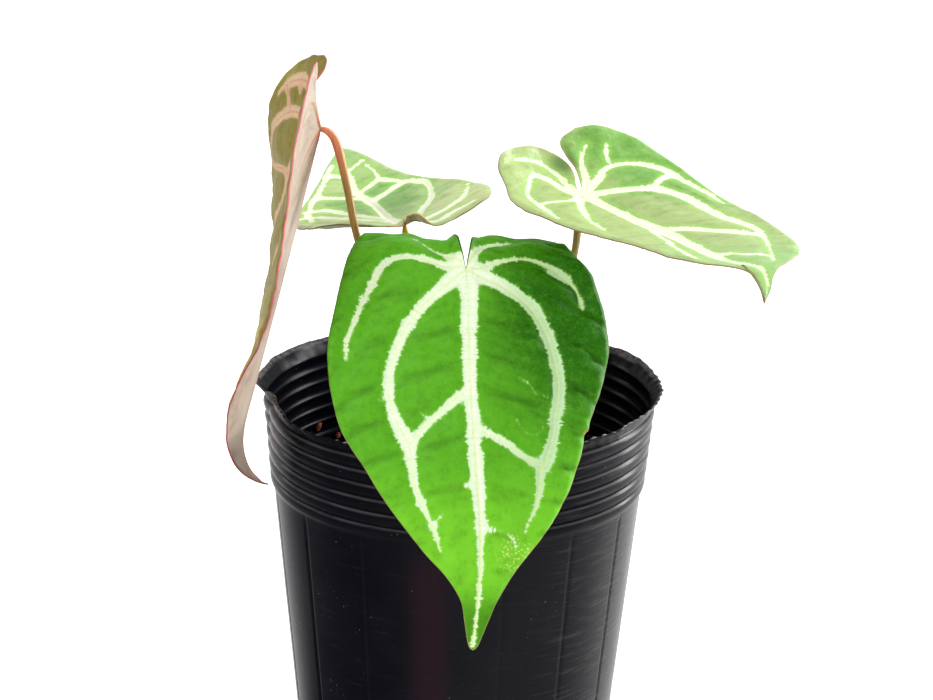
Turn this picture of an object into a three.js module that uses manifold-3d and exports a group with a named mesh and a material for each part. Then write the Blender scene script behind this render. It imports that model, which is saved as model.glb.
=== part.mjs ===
// A young anthurium hybrid with four heart-shaped leaves in a tall, thin nursery pot.
// Millimetres, +Z up. The origin is the centre of the pot's underside, and -Y is the front.
import * as THREE from "three";
import { mergeVertices } from "three/addons/utils/BufferGeometryUtils.js";
import Module from "manifold-3d";

// Driving dimensions of the pot
const POT_HEIGHT = 125;
const LIP_RADIUS = 59.6;
const BAND_TOP_RADIUS = 57.2;
const BAND_FOOT_RADIUS = 54.8;
const BAND_HEIGHT = 28;
const BEAD_COUNT = 6;
const BEAD_PITCH = 4.1;
const BEAD_RISE = 0.8;
const BASE_RADIUS = 45.7;
const BASE_FILLET = 1.5;
const POT_WALL = 0.9;
const POT_FLOOR = 1.2;
const POT_SIDES = 48;
const FOOT_WIDTH = 6;
const FLOOR_RECESS = 1.2;
const CENTRE_PAD_RADIUS = 20;
const DRAIN_HOLES = 8;
const DRAIN_RADIUS = 3.2;
const DRAIN_CIRCLE = 30;

// Driving dimensions of what fills the pot
const CLEARANCE = 0.3;
const MIX_LEVEL = 84;
const MIX_MOUND = 2.2;
const MIX_ROUGHNESS = 0.8;
const STEM_RADIUS = 5.5;
const STEM_TOP = 94;
const STEM_BURIED = 14;
const PETIOLE_RADIUS = 1.1;
const PETIOLE_SIDES = 8;
const SHEATH_COUNT = 4;
const SHEATH_HEIGHT = 22;
const SHEATH_WIDTH = 6;
const SHEATH_THICKNESS = 0.7;
const ROOT_RADIUS = 1.3;

// Driving dimensions of the blades
const BLADE_THICKNESS = 0.9;
const BLADE_ROWS = 20;
const BLADE_COLUMNS = 4;
const FIRST_ANCHOR = 0.05;

// Fractions of a blade's length at which its side lifts are stated: lobe, petiole, quarters, tip
const STATIONS = [-0.25, 0, 0.25, 0.5, 0.75, 1];

// Each blade is drawn flat, x across and y from the petiole to the tip, then laid along its midrib.
// plus and minus are the two half outlines, from the sinus round the lobe to the tip.
const BLADES = {
  front: {
    length: 106.2,
    attach: [1.2, -40, 173.7],
    heading: -83.8,
    turn: 0,
    pitch: 48,
    droop: 35,
    droopPower: 0.8,
    tipHook: 0,
    lobeBend: 3.6,
    sinusLift: 3,
    roll: 0,
    twist: 0,
    liftPlus: [-10, -6, -6, -6, -6, -6],
    liftMinus: [-6, -6, -6, -6, -6, -6],
    curlPlus: -0.25,
    curlMinus: -0.15,
    plus: [[0, 0], [1.2, -4.5], [3.2, -12], [6.5, -19], [12.5, -24.5], [20.5, -25], [28, -19], [32.5, -9.5],
      [36.5, -0.5], [39.3, 10.9], [40.2, 19], [39.5, 26.5], [36.4, 36], [32.3, 46.5], [30.4, 54], [26.5, 64],
      [20.5, 74], [12.5, 83.5], [6.7, 92], [3.3, 99], [-0.4, 105.8]],
    minus: [[0, 0], [-1, -4.5], [-2.4, -12], [-5.5, -19], [-11.5, -25.5], [-20, -26], [-27.5, -20], [-32, -9],
      [-34.4, 0], [-36.9, 10.6], [-38.5, 17.7], [-39, 25], [-38.3, 34], [-35.5, 45.4], [-29.5, 55.6],
      [-23.5, 65.7], [-13.6, 79], [-7.7, 85.6], [-3.3, 92.2], [-1.9, 98.9], [-0.4, 105.8]],
  },
  right: {
    length: 97,
    attach: [33.9, -9, 186.5],
    heading: -52,
    turn: -18,
    pitch: 7,
    droop: -17,
    droopPower: 1,
    tipHook: 75,
    lobeBend: -1.7,
    sinusLift: 0,
    roll: 6,
    twist: -6,
    liftPlus: [13, 11, 9, 7, 5, 3],
    liftMinus: [11, 10, 9, 8, 7, 6],
    curlPlus: -0.45,
    curlMinus: 0.05,
    plus: [[0, 0], [3.6, -5], [6.7, -12], [6.9, -18], [8, -23], [14.5, -25.4], [21, -24.2], [26, -21],
      [31.4, -15], [34, -7], [34.2, 1], [32.8, 9], [31.3, 18], [30.4, 28], [30.5, 39], [28.6, 52],
      [26, 62], [20.3, 72.8], [13.8, 79.2], [7, 84], [3.8, 87.5], [1.4, 91.5], [-1.8, 95.4]],
    minus: [[0, 0], [2.4, -5.5], [5.2, -10.5], [5.7, -15.3], [3.6, -20.3], [-0.5, -23.8], [-8.3, -24.6],
      [-15, -23], [-18.6, -18.5], [-20.5, -12.5], [-22.8, -7], [-25.6, -1], [-26.8, 7], [-25.6, 15],
      [-24.4, 24], [-22.4, 33], [-19, 41], [-16.2, 49], [-15.3, 60], [-14.4, 69], [-10.5, 75.2],
      [-4.5, 78.5], [-1.4, 83], [-0.8, 88], [-1.8, 95.4]],
  },
  back: {
    length: 84,
    attach: [-17.2, 6.5, 173.2],
    heading: 107,
    turn: -3,
    pitch: 12,
    droop: -30,
    droopPower: 1,
    tipHook: 10,
    lobeBend: 0.3,
    sinusLift: 4,
    roll: -7,
    twist: 0,
    liftPlus: [18, 10.5, 6.5, 1, -0.5, -2],
    liftMinus: [9, 10, 8.5, 7, 5.5, 4],
    curlPlus: -0.25,
    curlMinus: 0.15,
    plus: [[0, 0], [1, -5], [3.5, -12], [8.5, -18], [15.5, -19.5], [21.5, -16.5], [26, -9], [28.6, 3],
      [29, 15], [27, 27], [22.5, 41.5], [17.2, 52], [12, 62], [6.4, 73.7], [3.2, 79.5], [0, 83]],
    minus: [[0, 0], [0.4, -5], [1.2, -12], [-1.2, -18], [-6, -20.7], [-12, -19], [-17.5, -16.4], [-23, -13],
      [-26.3, -7.6], [-28.6, 2.4], [-29.4, 14.4], [-28, 25], [-25.6, 34], [-20.5, 42.5], [-15.7, 51.5],
      [-11.3, 60.5], [-7.6, 69.8], [-3, 79], [0, 83]],
  },
  left: {
    length: 111.4,
    attach: [-40.4, -22.9, 208.3],
    heading: 188.3,
    turn: -2.8,
    pitch: 76.8,
    droop: -2.2,
    droopPower: 1,
    tipHook: 87.5,
    lobeBend: 0.1,
    sinusLift: 0,
    roll: 0,
    twist: 0,
    liftPlus: [27, 23.5, 18.5, 16, 26, 23],
    liftMinus: [3, 23, 13.5, 5.5, 8, 51],
    curlPlus: -0.45,
    curlMinus: -0.4,
    plus: [[0, 0], [2.2, -9.8], [6.7, -18.2], [14.4, -22.6], [23.4, -21.4], [31.7, -14.7], [36.7, -5.4],
      [39.5, 6.7], [41.2, 20], [40.7, 31.1], [37.8, 42.2], [33.4, 52.3], [27.3, 64.6], [21.1, 75.6],
      [13.4, 88], [6.7, 98], [2.7, 105.1], [0, 111.4]],
    minus: [[0, 0], [-2.2, -7.1], [-6.7, -13], [-14.4, -16.1], [-23.4, -15.2], [-31.7, -10.3], [-36.7, -3.9],
      [-39.5, 6.7], [-41.2, 20], [-40.7, 31.1], [-37.8, 42.2], [-33.4, 52.3], [-27.3, 64.6], [-21.1, 75.6],
      [-13.4, 88], [-6.7, 98], [-2.7, 105.1], [0, 111.4]],
  },
};

// Each petiole rises from the top of the stem and ends under its blade.
const PETIOLES = {
  front: [[0, -3.2, 94.6], [0, -3.9, 99], [0.3, -8, 114], [0.7, -15.5, 137], [1, -25.5, 157], [1.1, -32, 167],
    [1.2, -36, 170.6], [1.2, -38.6, 172.2]],
  right: [[3.2, 0, 94.6], [4.1, 0, 99], [10.5, -1.5, 113], [21, -4, 134], [29.6, -6.3, 156], [32.3, -7.3, 169],
    [33.2, -8.1, 178], [33.7, -8.8, 185]],
  back: [[0, 3.2, 94.6], [0, 3.9, 99], [-2.4, 5.4, 114], [-8.2, 6.2, 137], [-13.6, 6.8, 157], [-16, 6.7, 166],
    [-17, 6.5, 171.4]],
  left: [[-3.2, 0, 94.6], [-4.2, -0.1, 99], [-9.4, -4.4, 116], [-19.6, -14, 147], [-29.1, -20.9, 174.7],
    [-32.5, -20.9, 190.4], [-34.9, -21, 201], [-36.2, -21.6, 205.1], [-37.6, -22, 206.5], [-39.2, -22.4, 207.3]],
};

const TONES = {
  pot: [0x14141a, 0.32],
  mix: [0x4a3524, 0.95],
  stem: [0x8a8a50, 0.7],
  petiole: [0x7f6b2e, 0.5],
  coral: [0xd8825a, 0.45],
  green: [0x4f9a2a, 0.4],
  bronze: [0xa08a52, 0.4],
  sheath: [0xb08a5c, 0.85],
  root: [0xa89a70, 0.8],
  bark: [0x7a4a26, 0.9],
  perlite: [0xe8e6de, 0.9],
};

const wasm = await Module();
wasm.setup();

const degrees = THREE.MathUtils.degToRad;
const object = new THREE.Group();

function addMesh(name, geometry, tone) {
  const [color, roughness] = TONES[tone];
  const mesh = new THREE.Mesh(geometry, new THREE.MeshStandardMaterial({ color, roughness, metalness: 0 }));
  mesh.name = name;
  object.add(mesh);
  return mesh;
}

function geometryOf(points, triangles) {
  const geometry = new THREE.BufferGeometry();
  geometry.setAttribute("position", new THREE.Float32BufferAttribute(points.flat(), 3));
  geometry.setIndex(triangles.flat());
  geometry.computeVertexNormals();
  return geometry;
}

// A geometry as a solid for cutting, with only its positions kept.
function solidOf(geometry) {
  const bare = geometry.clone();
  bare.deleteAttribute("normal");
  bare.deleteAttribute("uv");
  const merged = mergeVertices(bare, 1e-3);
  return new wasm.Manifold(new wasm.Mesh({
    numProp: 3,
    vertProperties: new Float32Array(merged.attributes.position.array),
    triVerts: new Uint32Array(merged.index.array),
  }));
}

function geometryFrom(solid) {
  const mesh = solid.getMesh();
  const geometry = new THREE.BufferGeometry();
  geometry.setAttribute("position", new THREE.Float32BufferAttribute(mesh.vertProperties, 3));
  geometry.setIndex(Array.from(mesh.triVerts));
  geometry.computeVertexNormals();
  return geometry;
}

// A closed profile of [radius, height] turned about Z.
function turned(profile, sides) {
  const geometry = new THREE.LatheGeometry(profile.map(([r, z]) => new THREE.Vector2(r, z)), sides);
  return geometry.rotateX(Math.PI / 2);
}

// A repeatable random number from 0 to 1 for the shape numbered by seed.
function chance(seed) {
  const wave = Math.sin(seed * 12.9898 + 78.233) * 43758.5453;
  return wave - Math.floor(wave);
}

// The outer radius of the plain wall at a height.
function wallRadius(z) {
  const bandFoot = POT_HEIGHT - BAND_HEIGHT;
  return BASE_RADIUS + (BAND_FOOT_RADIUS - BASE_RADIUS) * ((z - BASE_FILLET) / (bandFoot - BASE_FILLET));
}

// Pot: a tapered wall, a band of rounded beads under a flared lip, and a recessed floor with drain holes.
function makePot() {
  const bandFoot = POT_HEIGHT - BAND_HEIGHT;
  const beadRadius = (z) => {
    const share = (z - bandFoot) / (BEAD_COUNT * BEAD_PITCH);
    return BAND_FOOT_RADIUS + (BAND_TOP_RADIUS - BAND_FOOT_RADIUS) * share;
  };
  const outer = [[BASE_RADIUS - BASE_FILLET, 0], [BASE_RADIUS, BASE_FILLET], [BAND_FOOT_RADIUS, bandFoot]];
  for (let i = 0; i < BEAD_COUNT; i++) {
    const low = bandFoot + i * BEAD_PITCH;
    outer.push([beadRadius(low + BEAD_PITCH / 2) + BEAD_RISE, low + BEAD_PITCH / 2]);
    outer.push([beadRadius(low + BEAD_PITCH), low + BEAD_PITCH]);
  }
  outer.push([LIP_RADIUS, POT_HEIGHT]);
  const inner = outer.slice(1).reverse().map(([r, z]) => [r - POT_WALL, Math.max(z, POT_FLOOR + FLOOR_RECESS)]);
  const recess = BASE_RADIUS - BASE_FILLET - FOOT_WIDTH;
  const floorTop = POT_FLOOR + FLOOR_RECESS;
  const profile = [
    [0, 0],
    [CENTRE_PAD_RADIUS, 0],
    [CENTRE_PAD_RADIUS + FLOOR_RECESS, FLOOR_RECESS],
    [recess - FLOOR_RECESS, FLOOR_RECESS],
    [recess, 0],
    ...outer,
    ...inner,
    [0, floorTop],
  ];
  let pot = solidOf(turned(profile, POT_SIDES));
  for (let i = 0; i < DRAIN_HOLES; i++) {
    const drill = new THREE.CylinderGeometry(DRAIN_RADIUS, DRAIN_RADIUS, 4 * floorTop, 12).rotateX(Math.PI / 2);
    const angle = (i / DRAIN_HOLES) * 2 * Math.PI;
    drill.translate(DRAIN_CIRCLE * Math.cos(angle), DRAIN_CIRCLE * Math.sin(angle), floorTop);
    pot = pot.subtract(solidOf(drill));
  }
  addMesh("nursery_pot", geometryFrom(pot), "pot");
}

// Height of the uneven mix surface.
function mixHeight(x, y) {
  const r = Math.hypot(x, y) / wallRadius(MIX_LEVEL);
  const ripple = Math.sin(x * 0.31 + 1.3) * Math.cos(y * 0.27) + 0.6 * Math.sin(y * 0.53 + x * 0.11);
  return MIX_LEVEL + MIX_MOUND * (1 - r * r) + MIX_ROUGHNESS * ripple * (1 - r ** 4);
}

// Potting mix: fills the pot from its floor, with a hole for the buried end of the stem.
function makeMix() {
  const sides = POT_SIDES;
  const rings = [1, 0.8, 0.55, 0.32];
  const topRadius = wallRadius(MIX_LEVEL) - POT_WALL - CLEARANCE;
  const floor = POT_FLOOR + FLOOR_RECESS + CLEARANCE;
  const bottomRadius = wallRadius(floor) - POT_WALL - CLEARANCE;
  const collar = STEM_RADIUS + CLEARANCE;
  const points = [];
  const triangles = [];
  const ring = (radius, height) => {
    const first = points.length;
    for (let i = 0; i < sides; i++) {
      const a = (i / sides) * 2 * Math.PI;
      const x = radius * Math.cos(a);
      const y = radius * Math.sin(a);
      points.push([x, y, height(x, y)]);
    }
    return first;
  };
  const stemFoot = MIX_LEVEL - STEM_BURIED - CLEARANCE;
  const loops = [ring(bottomRadius, () => floor)];
  rings.forEach((share) => loops.push(ring(topRadius * share, mixHeight)));
  loops.push(ring(collar, mixHeight));
  loops.push(ring(collar, () => stemFoot));
  for (let k = 0; k + 1 < loops.length; k++) {
    for (let i = 0; i < sides; i++) {
      const j = (i + 1) % sides;
      const [a, b, c, d] = [loops[k] + i, loops[k] + j, loops[k + 1] + j, loops[k + 1] + i];
      triangles.push([a, b, c], [a, c, d]);
    }
  }
  const under = points.push([0, 0, floor]) - 1;
  const within = points.push([0, 0, stemFoot]) - 1;
  const last = loops.at(-1);
  for (let i = 0; i < sides; i++) {
    const j = (i + 1) % sides;
    triangles.push([under, loops[0] + j, loops[0] + i], [within, last + i, last + j]);
  }
  addMesh("potting_mix", geometryOf(points, triangles), "mix");
}

// Stem: a short upright rootstock with leaf-scar rings.
function makeStem() {
  const foot = MIX_LEVEL - STEM_BURIED;
  const profile = [
    [0, foot],
    [STEM_RADIUS - 2, foot],
    [STEM_RADIUS - 0.4, foot + 4],
    [STEM_RADIUS - 0.3, MIX_LEVEL - 1],
    [STEM_RADIUS - 0.9, MIX_LEVEL + 3],
    [STEM_RADIUS, MIX_LEVEL + 5],
    [STEM_RADIUS - 0.8, MIX_LEVEL + 7],
    [STEM_RADIUS - 0.3, STEM_TOP - 1],
    [STEM_RADIUS - 0.6, STEM_TOP],
    [0, STEM_TOP],
  ];
  addMesh("stem", turned(profile, 20), "stem");
}

// Petiole: a thin stalk, wider where it clasps the stem and where it bends into the blade.
function makePetiole(name) {
  const path = new THREE.CatmullRomCurve3(PETIOLES[name].map((p) => new THREE.Vector3(...p)), false, "centripetal");
  const steps = 18;
  const frames = path.computeFrenetFrames(steps, false);
  const points = [];
  const triangles = [];
  for (let k = 0; k <= steps; k++) {
    const u = k / steps;
    const swell = 0.5 * Math.exp(-((u / 0.07) ** 2)) + 0.18 * Math.exp(-(((u - 0.95) / 0.05) ** 2));
    const centre = path.getPointAt(u);
    for (let i = 0; i < PETIOLE_SIDES; i++) {
      const a = (i / PETIOLE_SIDES) * 2 * Math.PI;
      const p = centre.clone()
        .addScaledVector(frames.normals[k], PETIOLE_RADIUS * (1 + swell) * Math.cos(a))
        .addScaledVector(frames.binormals[k], PETIOLE_RADIUS * (1 + swell) * Math.sin(a));
      points.push(p.toArray());
    }
  }
  for (let k = 0; k < steps; k++) {
    for (let i = 0; i < PETIOLE_SIDES; i++) {
      const j = (i + 1) % PETIOLE_SIDES;
      const [a, b] = [k * PETIOLE_SIDES + i, k * PETIOLE_SIDES + j];
      const [c, d] = [b + PETIOLE_SIDES, a + PETIOLE_SIDES];
      triangles.push([a, b, c], [a, c, d]);
    }
  }
  const foot = points.push(path.getPointAt(0).toArray()) - 1;
  const head = points.push(path.getPointAt(1).toArray()) - 1;
  const last = steps * PETIOLE_SIDES;
  for (let i = 0; i < PETIOLE_SIDES; i++) {
    const j = (i + 1) % PETIOLE_SIDES;
    triangles.push([foot, j, i], [head, last + i, last + j]);
  }
  addMesh("petiole_" + name, geometryOf(points, triangles), name === "left" ? "coral" : "petiole");
}

// A smooth value between the lifts stated at the stations.
function atStation(values, share) {
  const last = STATIONS.length - 1;
  const s = Math.min(Math.max(share, STATIONS[0]), STATIONS[last]);
  let i = 0;
  while (i < last - 1 && s > STATIONS[i + 1]) i++;
  const t = (s - STATIONS[i]) / (STATIONS[i + 1] - STATIONS[i]);
  const slope = (k) => {
    const [a, b] = [Math.max(k - 1, 0), Math.min(k + 1, last)];
    return ((values[b] - values[a]) / (STATIONS[b] - STATIONS[a])) * (STATIONS[i + 1] - STATIONS[i]);
  };
  const [h, k] = [t * t, t * t * t];
  return (2 * k - 3 * h + 1) * values[i] + (k - 2 * h + t) * slope(i) + (3 * h - 2 * k) * values[i + 1] +
    (k - h) * slope(i + 1);
}

// The direction, side and face of a blade's midrib at y, before its place is worked out.
function midribFrame(blade, y) {
  const share = y / blade.length;
  const hook = blade.tipHook * Math.max(0, (share - 0.75) / 0.25) ** 2;
  const bend = share >= 0 ? blade.droop * share ** blade.droopPower + hook : blade.lobeBend * y;
  const pitch = degrees(blade.pitch + bend);
  const heading = degrees(blade.heading + blade.turn * share);
  const along = new THREE.Vector3(
    Math.cos(pitch) * Math.cos(heading),
    Math.cos(pitch) * Math.sin(heading),
    -Math.sin(pitch),
  );
  const level = new THREE.Vector3(-Math.sin(heading), Math.cos(heading), 0);
  const up = along.clone().cross(level);
  const roll = degrees(blade.roll + blade.twist * share);
  const side = level.clone().multiplyScalar(Math.cos(roll)).addScaledVector(up, Math.sin(roll));
  const face = up.multiplyScalar(Math.cos(roll)).addScaledVector(level, -Math.sin(roll));
  return { along, side, face };
}

// The midrib in space, in steps of one millimetre each way from the petiole.
function midribOf(blade) {
  const place = new Map([[0, new THREE.Vector3(...blade.attach)]]);
  for (let y = 0; y <= blade.length + 4; y++) {
    place.set(y + 1, place.get(y).clone().add(midribFrame(blade, y + 0.5).along));
  }
  for (let y = 0; y >= -0.5 * blade.length; y--) {
    place.set(y - 1, place.get(y).clone().sub(midribFrame(blade, y - 0.5).along));
  }
  return (y) => place.get(Math.floor(y)).clone().lerp(place.get(Math.floor(y) + 1), y - Math.floor(y));
}

// The point of a blade's middle surface for flat coordinates x and y.
function bladePoint(blade, midrib, x, y) {
  const { side, face } = midribFrame(blade, y);
  const plus = x >= 0;
  const share = y / blade.length;
  const lift = degrees(atStation(plus ? blade.liftPlus : blade.liftMinus, share));
  const curl = degrees(plus ? blade.curlPlus : blade.curlMinus) + 1e-9;
  const reach = Math.abs(x);
  const across = (Math.sin(lift + curl * reach) - Math.sin(lift)) / curl;
  const rise = (Math.cos(lift) - Math.cos(lift + curl * reach)) / curl;
  const cup = blade.sinusLift * Math.exp(-((x / 6) ** 2)) * Math.min(Math.max(-y / 10, 0), 1);
  return midrib(y).addScaledVector(side, plus ? across : -across).addScaledVector(face, rise + cup);
}

// Blade: a thin closed sheet, drawn from anchors on the midrib to the outline of each half.
function makeBlade(name) {
  const blade = BLADES[name];
  const midrib = midribOf(blade);
  const [tipX, tipY] = blade.plus.at(-1);
  const flat = [];
  const quads = [];
  const anchor = (t) => {
    const share = FIRST_ANCHOR * t + (1 - FIRST_ANCHOR) * t ** 2.2;
    return [tipX * share ** 3, tipY * share];
  };
  const spine = [];
  for (let k = 0; k <= BLADE_ROWS; k++) spine.push(flat.push(anchor(k / BLADE_ROWS)) - 1);
  for (const half of [blade.plus, blade.minus]) {
    const edge = new THREE.CatmullRomCurve3(half.map(([x, y]) => new THREE.Vector3(x, y, 0)), false, "centripetal");
    const rows = [];
    for (let k = 0; k <= BLADE_ROWS; k++) {
      const out = edge.getPointAt(k / BLADE_ROWS);
      const [ax, ay] = anchor(k / BLADE_ROWS);
      const row = [spine[k]];
      for (let s = 1; s <= BLADE_COLUMNS; s++) {
        const end = k === 0 || k === BLADE_ROWS;
        const share = s / BLADE_COLUMNS;
        row.push(end ? spine[k] : flat.push([ax + (out.x - ax) * share, ay + (out.y - ay) * share]) - 1);
      }
      rows.push(row);
    }
    for (let k = 0; k < BLADE_ROWS; k++) {
      for (let s = 0; s < BLADE_COLUMNS; s++) {
        const quad = [rows[k][s], rows[k + 1][s], rows[k + 1][s + 1], rows[k][s + 1]];
        quads.push(half === blade.minus ? quad.reverse() : quad);
      }
    }
  }
  const step = 0.4;
  const points = [];
  for (const side of [1, -1]) {
    for (const [x, y] of flat) {
      const across = bladePoint(blade, midrib, x + step, y).sub(bladePoint(blade, midrib, x - step, y));
      const along = bladePoint(blade, midrib, x, y + step).sub(bladePoint(blade, midrib, x, y - step));
      const normal = along.cross(across).normalize();
      const p = bladePoint(blade, midrib, x, y).addScaledVector(normal, (side * BLADE_THICKNESS) / 2);
      points.push(p.toArray());
    }
  }
  const below = flat.length;
  const triangles = [];
  const open = new Map();
  const add = (a, b, c) => {
    if (a === b || b === c || c === a) return;
    triangles.push([a, b, c], [a + below, c + below, b + below]);
    for (const [p, q] of [[a, b], [b, c], [c, a]]) {
      if (!open.delete(q + "," + p)) open.set(p + "," + q, [p, q]);
    }
  };
  for (const [a, b, c, d] of quads) {
    add(a, b, c);
    add(a, c, d);
  }
  for (const [p, q] of open.values()) {
    triangles.push([q, p, p + below], [q, p + below, q + below]);
  }
  addMesh("blade_" + name, geometryOf(points, triangles), name === "left" ? "bronze" : "green");
}

// Sheath: a dry pointed scale that stands against the stem, between two petioles.
function makeSheath(index) {
  const outline = new THREE.Shape();
  outline.moveTo(-SHEATH_WIDTH / 2, 0);
  outline.lineTo(SHEATH_WIDTH / 2, 0);
  outline.quadraticCurveTo(SHEATH_WIDTH / 2.4, SHEATH_HEIGHT * 0.6, 0, SHEATH_HEIGHT * (1 - 0.12 * index));
  outline.quadraticCurveTo(-SHEATH_WIDTH / 2.4, SHEATH_HEIGHT * 0.6, -SHEATH_WIDTH / 2, 0);
  const geometry = new THREE.ExtrudeGeometry(outline, {
    depth: SHEATH_THICKNESS,
    bevelEnabled: false,
    curveSegments: 5,
  });
  const sheath = addMesh("dry_sheath_" + (index + 1), geometry, "sheath");
  const angle = (index + 0.5) * (Math.PI / 2);
  const reach = STEM_RADIUS + CLEARANCE + 0.1;
  sheath.rotation.order = "ZXY";
  sheath.rotation.set(Math.PI / 2 - 0.08, 0, angle + Math.PI / 2);
  sheath.position.set(reach * Math.cos(angle), reach * Math.sin(angle), MIX_LEVEL + MIX_MOUND + 1.6);
}

// Root: an aerial root that arches from the stem and lies over the mix.
function makeRoot(index) {
  const angle = (index * Math.PI) / 2;
  const from = STEM_RADIUS + 2 * CLEARANCE;
  const reach = 14 + 6 * chance(index + 1);
  const stations = [0, 0.35, 0.7, 1].map((share) => {
    const r = from + (reach - from) * share;
    const a = angle + 0.35 * share * (index % 2 ? 1 : -1);
    const x = r * Math.cos(a);
    const y = r * Math.sin(a);
    return new THREE.Vector3(x, y, mixHeight(x, y) + ROOT_RADIUS + CLEARANCE + 0.5 + 1.6 * Math.sin(Math.PI * share));
  });
  const section = new THREE.Shape();
  section.absarc(0, 0, ROOT_RADIUS, 0, 2 * Math.PI);
  const geometry = new THREE.ExtrudeGeometry(section, {
    steps: 8,
    curveSegments: 4,
    extrudePath: new THREE.CatmullRomCurve3(stations),
  });
  addMesh("surface_root_" + (index + 1), geometry, "root");
}

// A small lump with flat facets that rests on the mix.
function makeLump(name, tone, seed, size, angle, reach) {
  const geometry = new THREE.IcosahedronGeometry(1, 0);
  geometry.deleteAttribute("normal");
  geometry.deleteAttribute("uv");
  const merged = mergeVertices(geometry, 1e-4);
  const place = merged.getAttribute("position");
  for (let i = 0; i < place.count; i++) {
    const swell = 0.82 + 0.3 * chance(seed * 17 + i);
    place.setXYZ(i, place.getX(i) * size[0] * swell, place.getY(i) * size[1] * swell, place.getZ(i) * size[2] * swell);
  }
  merged.rotateZ(seed * 1.7);
  const x = reach * Math.cos(angle);
  const y = reach * Math.sin(angle);
  merged.computeBoundingBox();
  let ground = 0;
  for (let i = 0; i < place.count; i++) {
    ground = Math.max(ground, mixHeight(x + place.getX(i), y + place.getY(i)));
  }
  merged.translate(x, y, ground - merged.boundingBox.min.z + CLEARANCE);
  addMesh(name, merged, tone);
}

makePot();
makeMix();
makeStem();
for (const name of Object.keys(BLADES)) {
  makeBlade(name);
  makePetiole(name);
}
for (let i = 0; i < SHEATH_COUNT; i++) makeSheath(i);
for (let i = 0; i < 4; i++) makeRoot(i);

// Bark chunks and perlite grains: half-sizes, bearing in degrees and distance from the pot's axis.
const BARK = [
  [[5, 3.2, 1.8], 20, 33], [[4, 3, 1.6], 62, 28], [[5.5, 3.4, 2], 98, 38], [[4.2, 2.8, 1.7], 140, 30],
  [[5, 3.6, 1.9], 172, 39], [[4.4, 3, 1.6], 205, 29], [[5.2, 3.2, 2], 238, 38], [[4, 3.2, 1.7], 280, 29],
  [[5.4, 3, 1.8], 312, 38], [[4.2, 2.6, 1.6], 345, 25],
];
const PERLITE = [[[1.9, 1.7, 1.5], 42, 36], [[1.6, 1.5, 1.3], 120, 22], [[2, 1.8, 1.6], 190, 21],
  [[1.7, 1.6, 1.4], 258, 22], [[1.8, 1.6, 1.5], 330, 33]];
BARK.forEach(([size, bearing, reach], i) => {
  makeLump("bark_chunk_" + (i + 1), "bark", i + 1, size, degrees(bearing), reach);
});
PERLITE.forEach(([size, bearing, reach], i) => {
  makeLump("perlite_grain_" + (i + 1), "perlite", i + 31, size, degrees(bearing), reach);
});

export default object;
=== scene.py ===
# A potted anthurium hybrid: four veined heart-shaped leaves in a tall, thin black nursery pot.
# Positions are in metres, made from sizes in millimetres. +Z is up and -Y is the front.
import math
import random

import bpy
import numpy as np
from mathutils import Matrix, Vector, noise


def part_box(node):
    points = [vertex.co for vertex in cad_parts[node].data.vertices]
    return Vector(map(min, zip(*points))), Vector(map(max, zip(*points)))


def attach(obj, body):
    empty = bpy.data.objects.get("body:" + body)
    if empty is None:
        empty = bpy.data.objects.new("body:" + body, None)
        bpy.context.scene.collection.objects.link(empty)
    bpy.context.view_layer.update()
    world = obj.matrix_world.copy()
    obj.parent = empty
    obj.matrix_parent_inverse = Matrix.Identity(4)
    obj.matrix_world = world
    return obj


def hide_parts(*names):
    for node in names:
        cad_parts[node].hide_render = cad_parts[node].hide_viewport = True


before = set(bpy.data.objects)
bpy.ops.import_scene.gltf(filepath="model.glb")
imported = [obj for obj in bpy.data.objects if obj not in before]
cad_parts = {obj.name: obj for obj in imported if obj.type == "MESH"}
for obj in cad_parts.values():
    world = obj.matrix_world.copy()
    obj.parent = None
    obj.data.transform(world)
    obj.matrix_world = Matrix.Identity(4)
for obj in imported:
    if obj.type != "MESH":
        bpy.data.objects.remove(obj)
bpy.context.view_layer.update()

MM = 0.001
ROOT = "root"


# Modelling helpers

def deselect():
    if bpy.context.object and bpy.context.object.mode != "OBJECT":
        bpy.ops.object.mode_set(mode="OBJECT")
    bpy.ops.object.select_all(action="DESELECT")


def named(name):
    """The object just added, under its own name."""
    piece = bpy.context.object
    piece.name = name
    piece.data.name = name
    return piece


def places(piece):
    """The corner points of a piece as an array, in millimetres."""
    values = np.empty(len(piece.data.vertices) * 3, np.float64)
    piece.data.vertices.foreach_get("co", values)
    return values.reshape(-1, 3) / MM


def move_to(piece, points):
    """Sets the corner points of a piece from an array in millimetres."""
    piece.data.vertices.foreach_set("co", (points * MM).astype(np.float32).ravel())
    piece.data.update()


def make_one(piece):
    """Leaves only this piece selected and active."""
    deselect()
    piece.select_set(True)
    bpy.context.view_layer.objects.active = piece


def apply_all(piece):
    """Applies every modifier of a piece, in order."""
    make_one(piece)
    for modifier in list(piece.modifiers):
        bpy.ops.object.modifier_apply(modifier=modifier.name)


def weld(piece, distance=0.02, outward=False):
    """Merges corner points that lie together; outward also turns every face outwards."""
    make_one(piece)
    bpy.ops.object.mode_set(mode="EDIT")
    bpy.ops.mesh.select_all(action="SELECT")
    bpy.ops.mesh.remove_doubles(threshold=distance * MM)
    if outward:
        bpy.ops.mesh.normals_make_consistent(inside=False)
    bpy.ops.object.mode_set(mode="OBJECT")


def turn_over(piece):
    """Turns every face of a piece the other way round."""
    make_one(piece)
    bpy.ops.object.mode_set(mode="EDIT")
    bpy.ops.mesh.select_all(action="SELECT")
    bpy.ops.mesh.flip_normals()
    bpy.ops.object.mode_set(mode="OBJECT")


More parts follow.
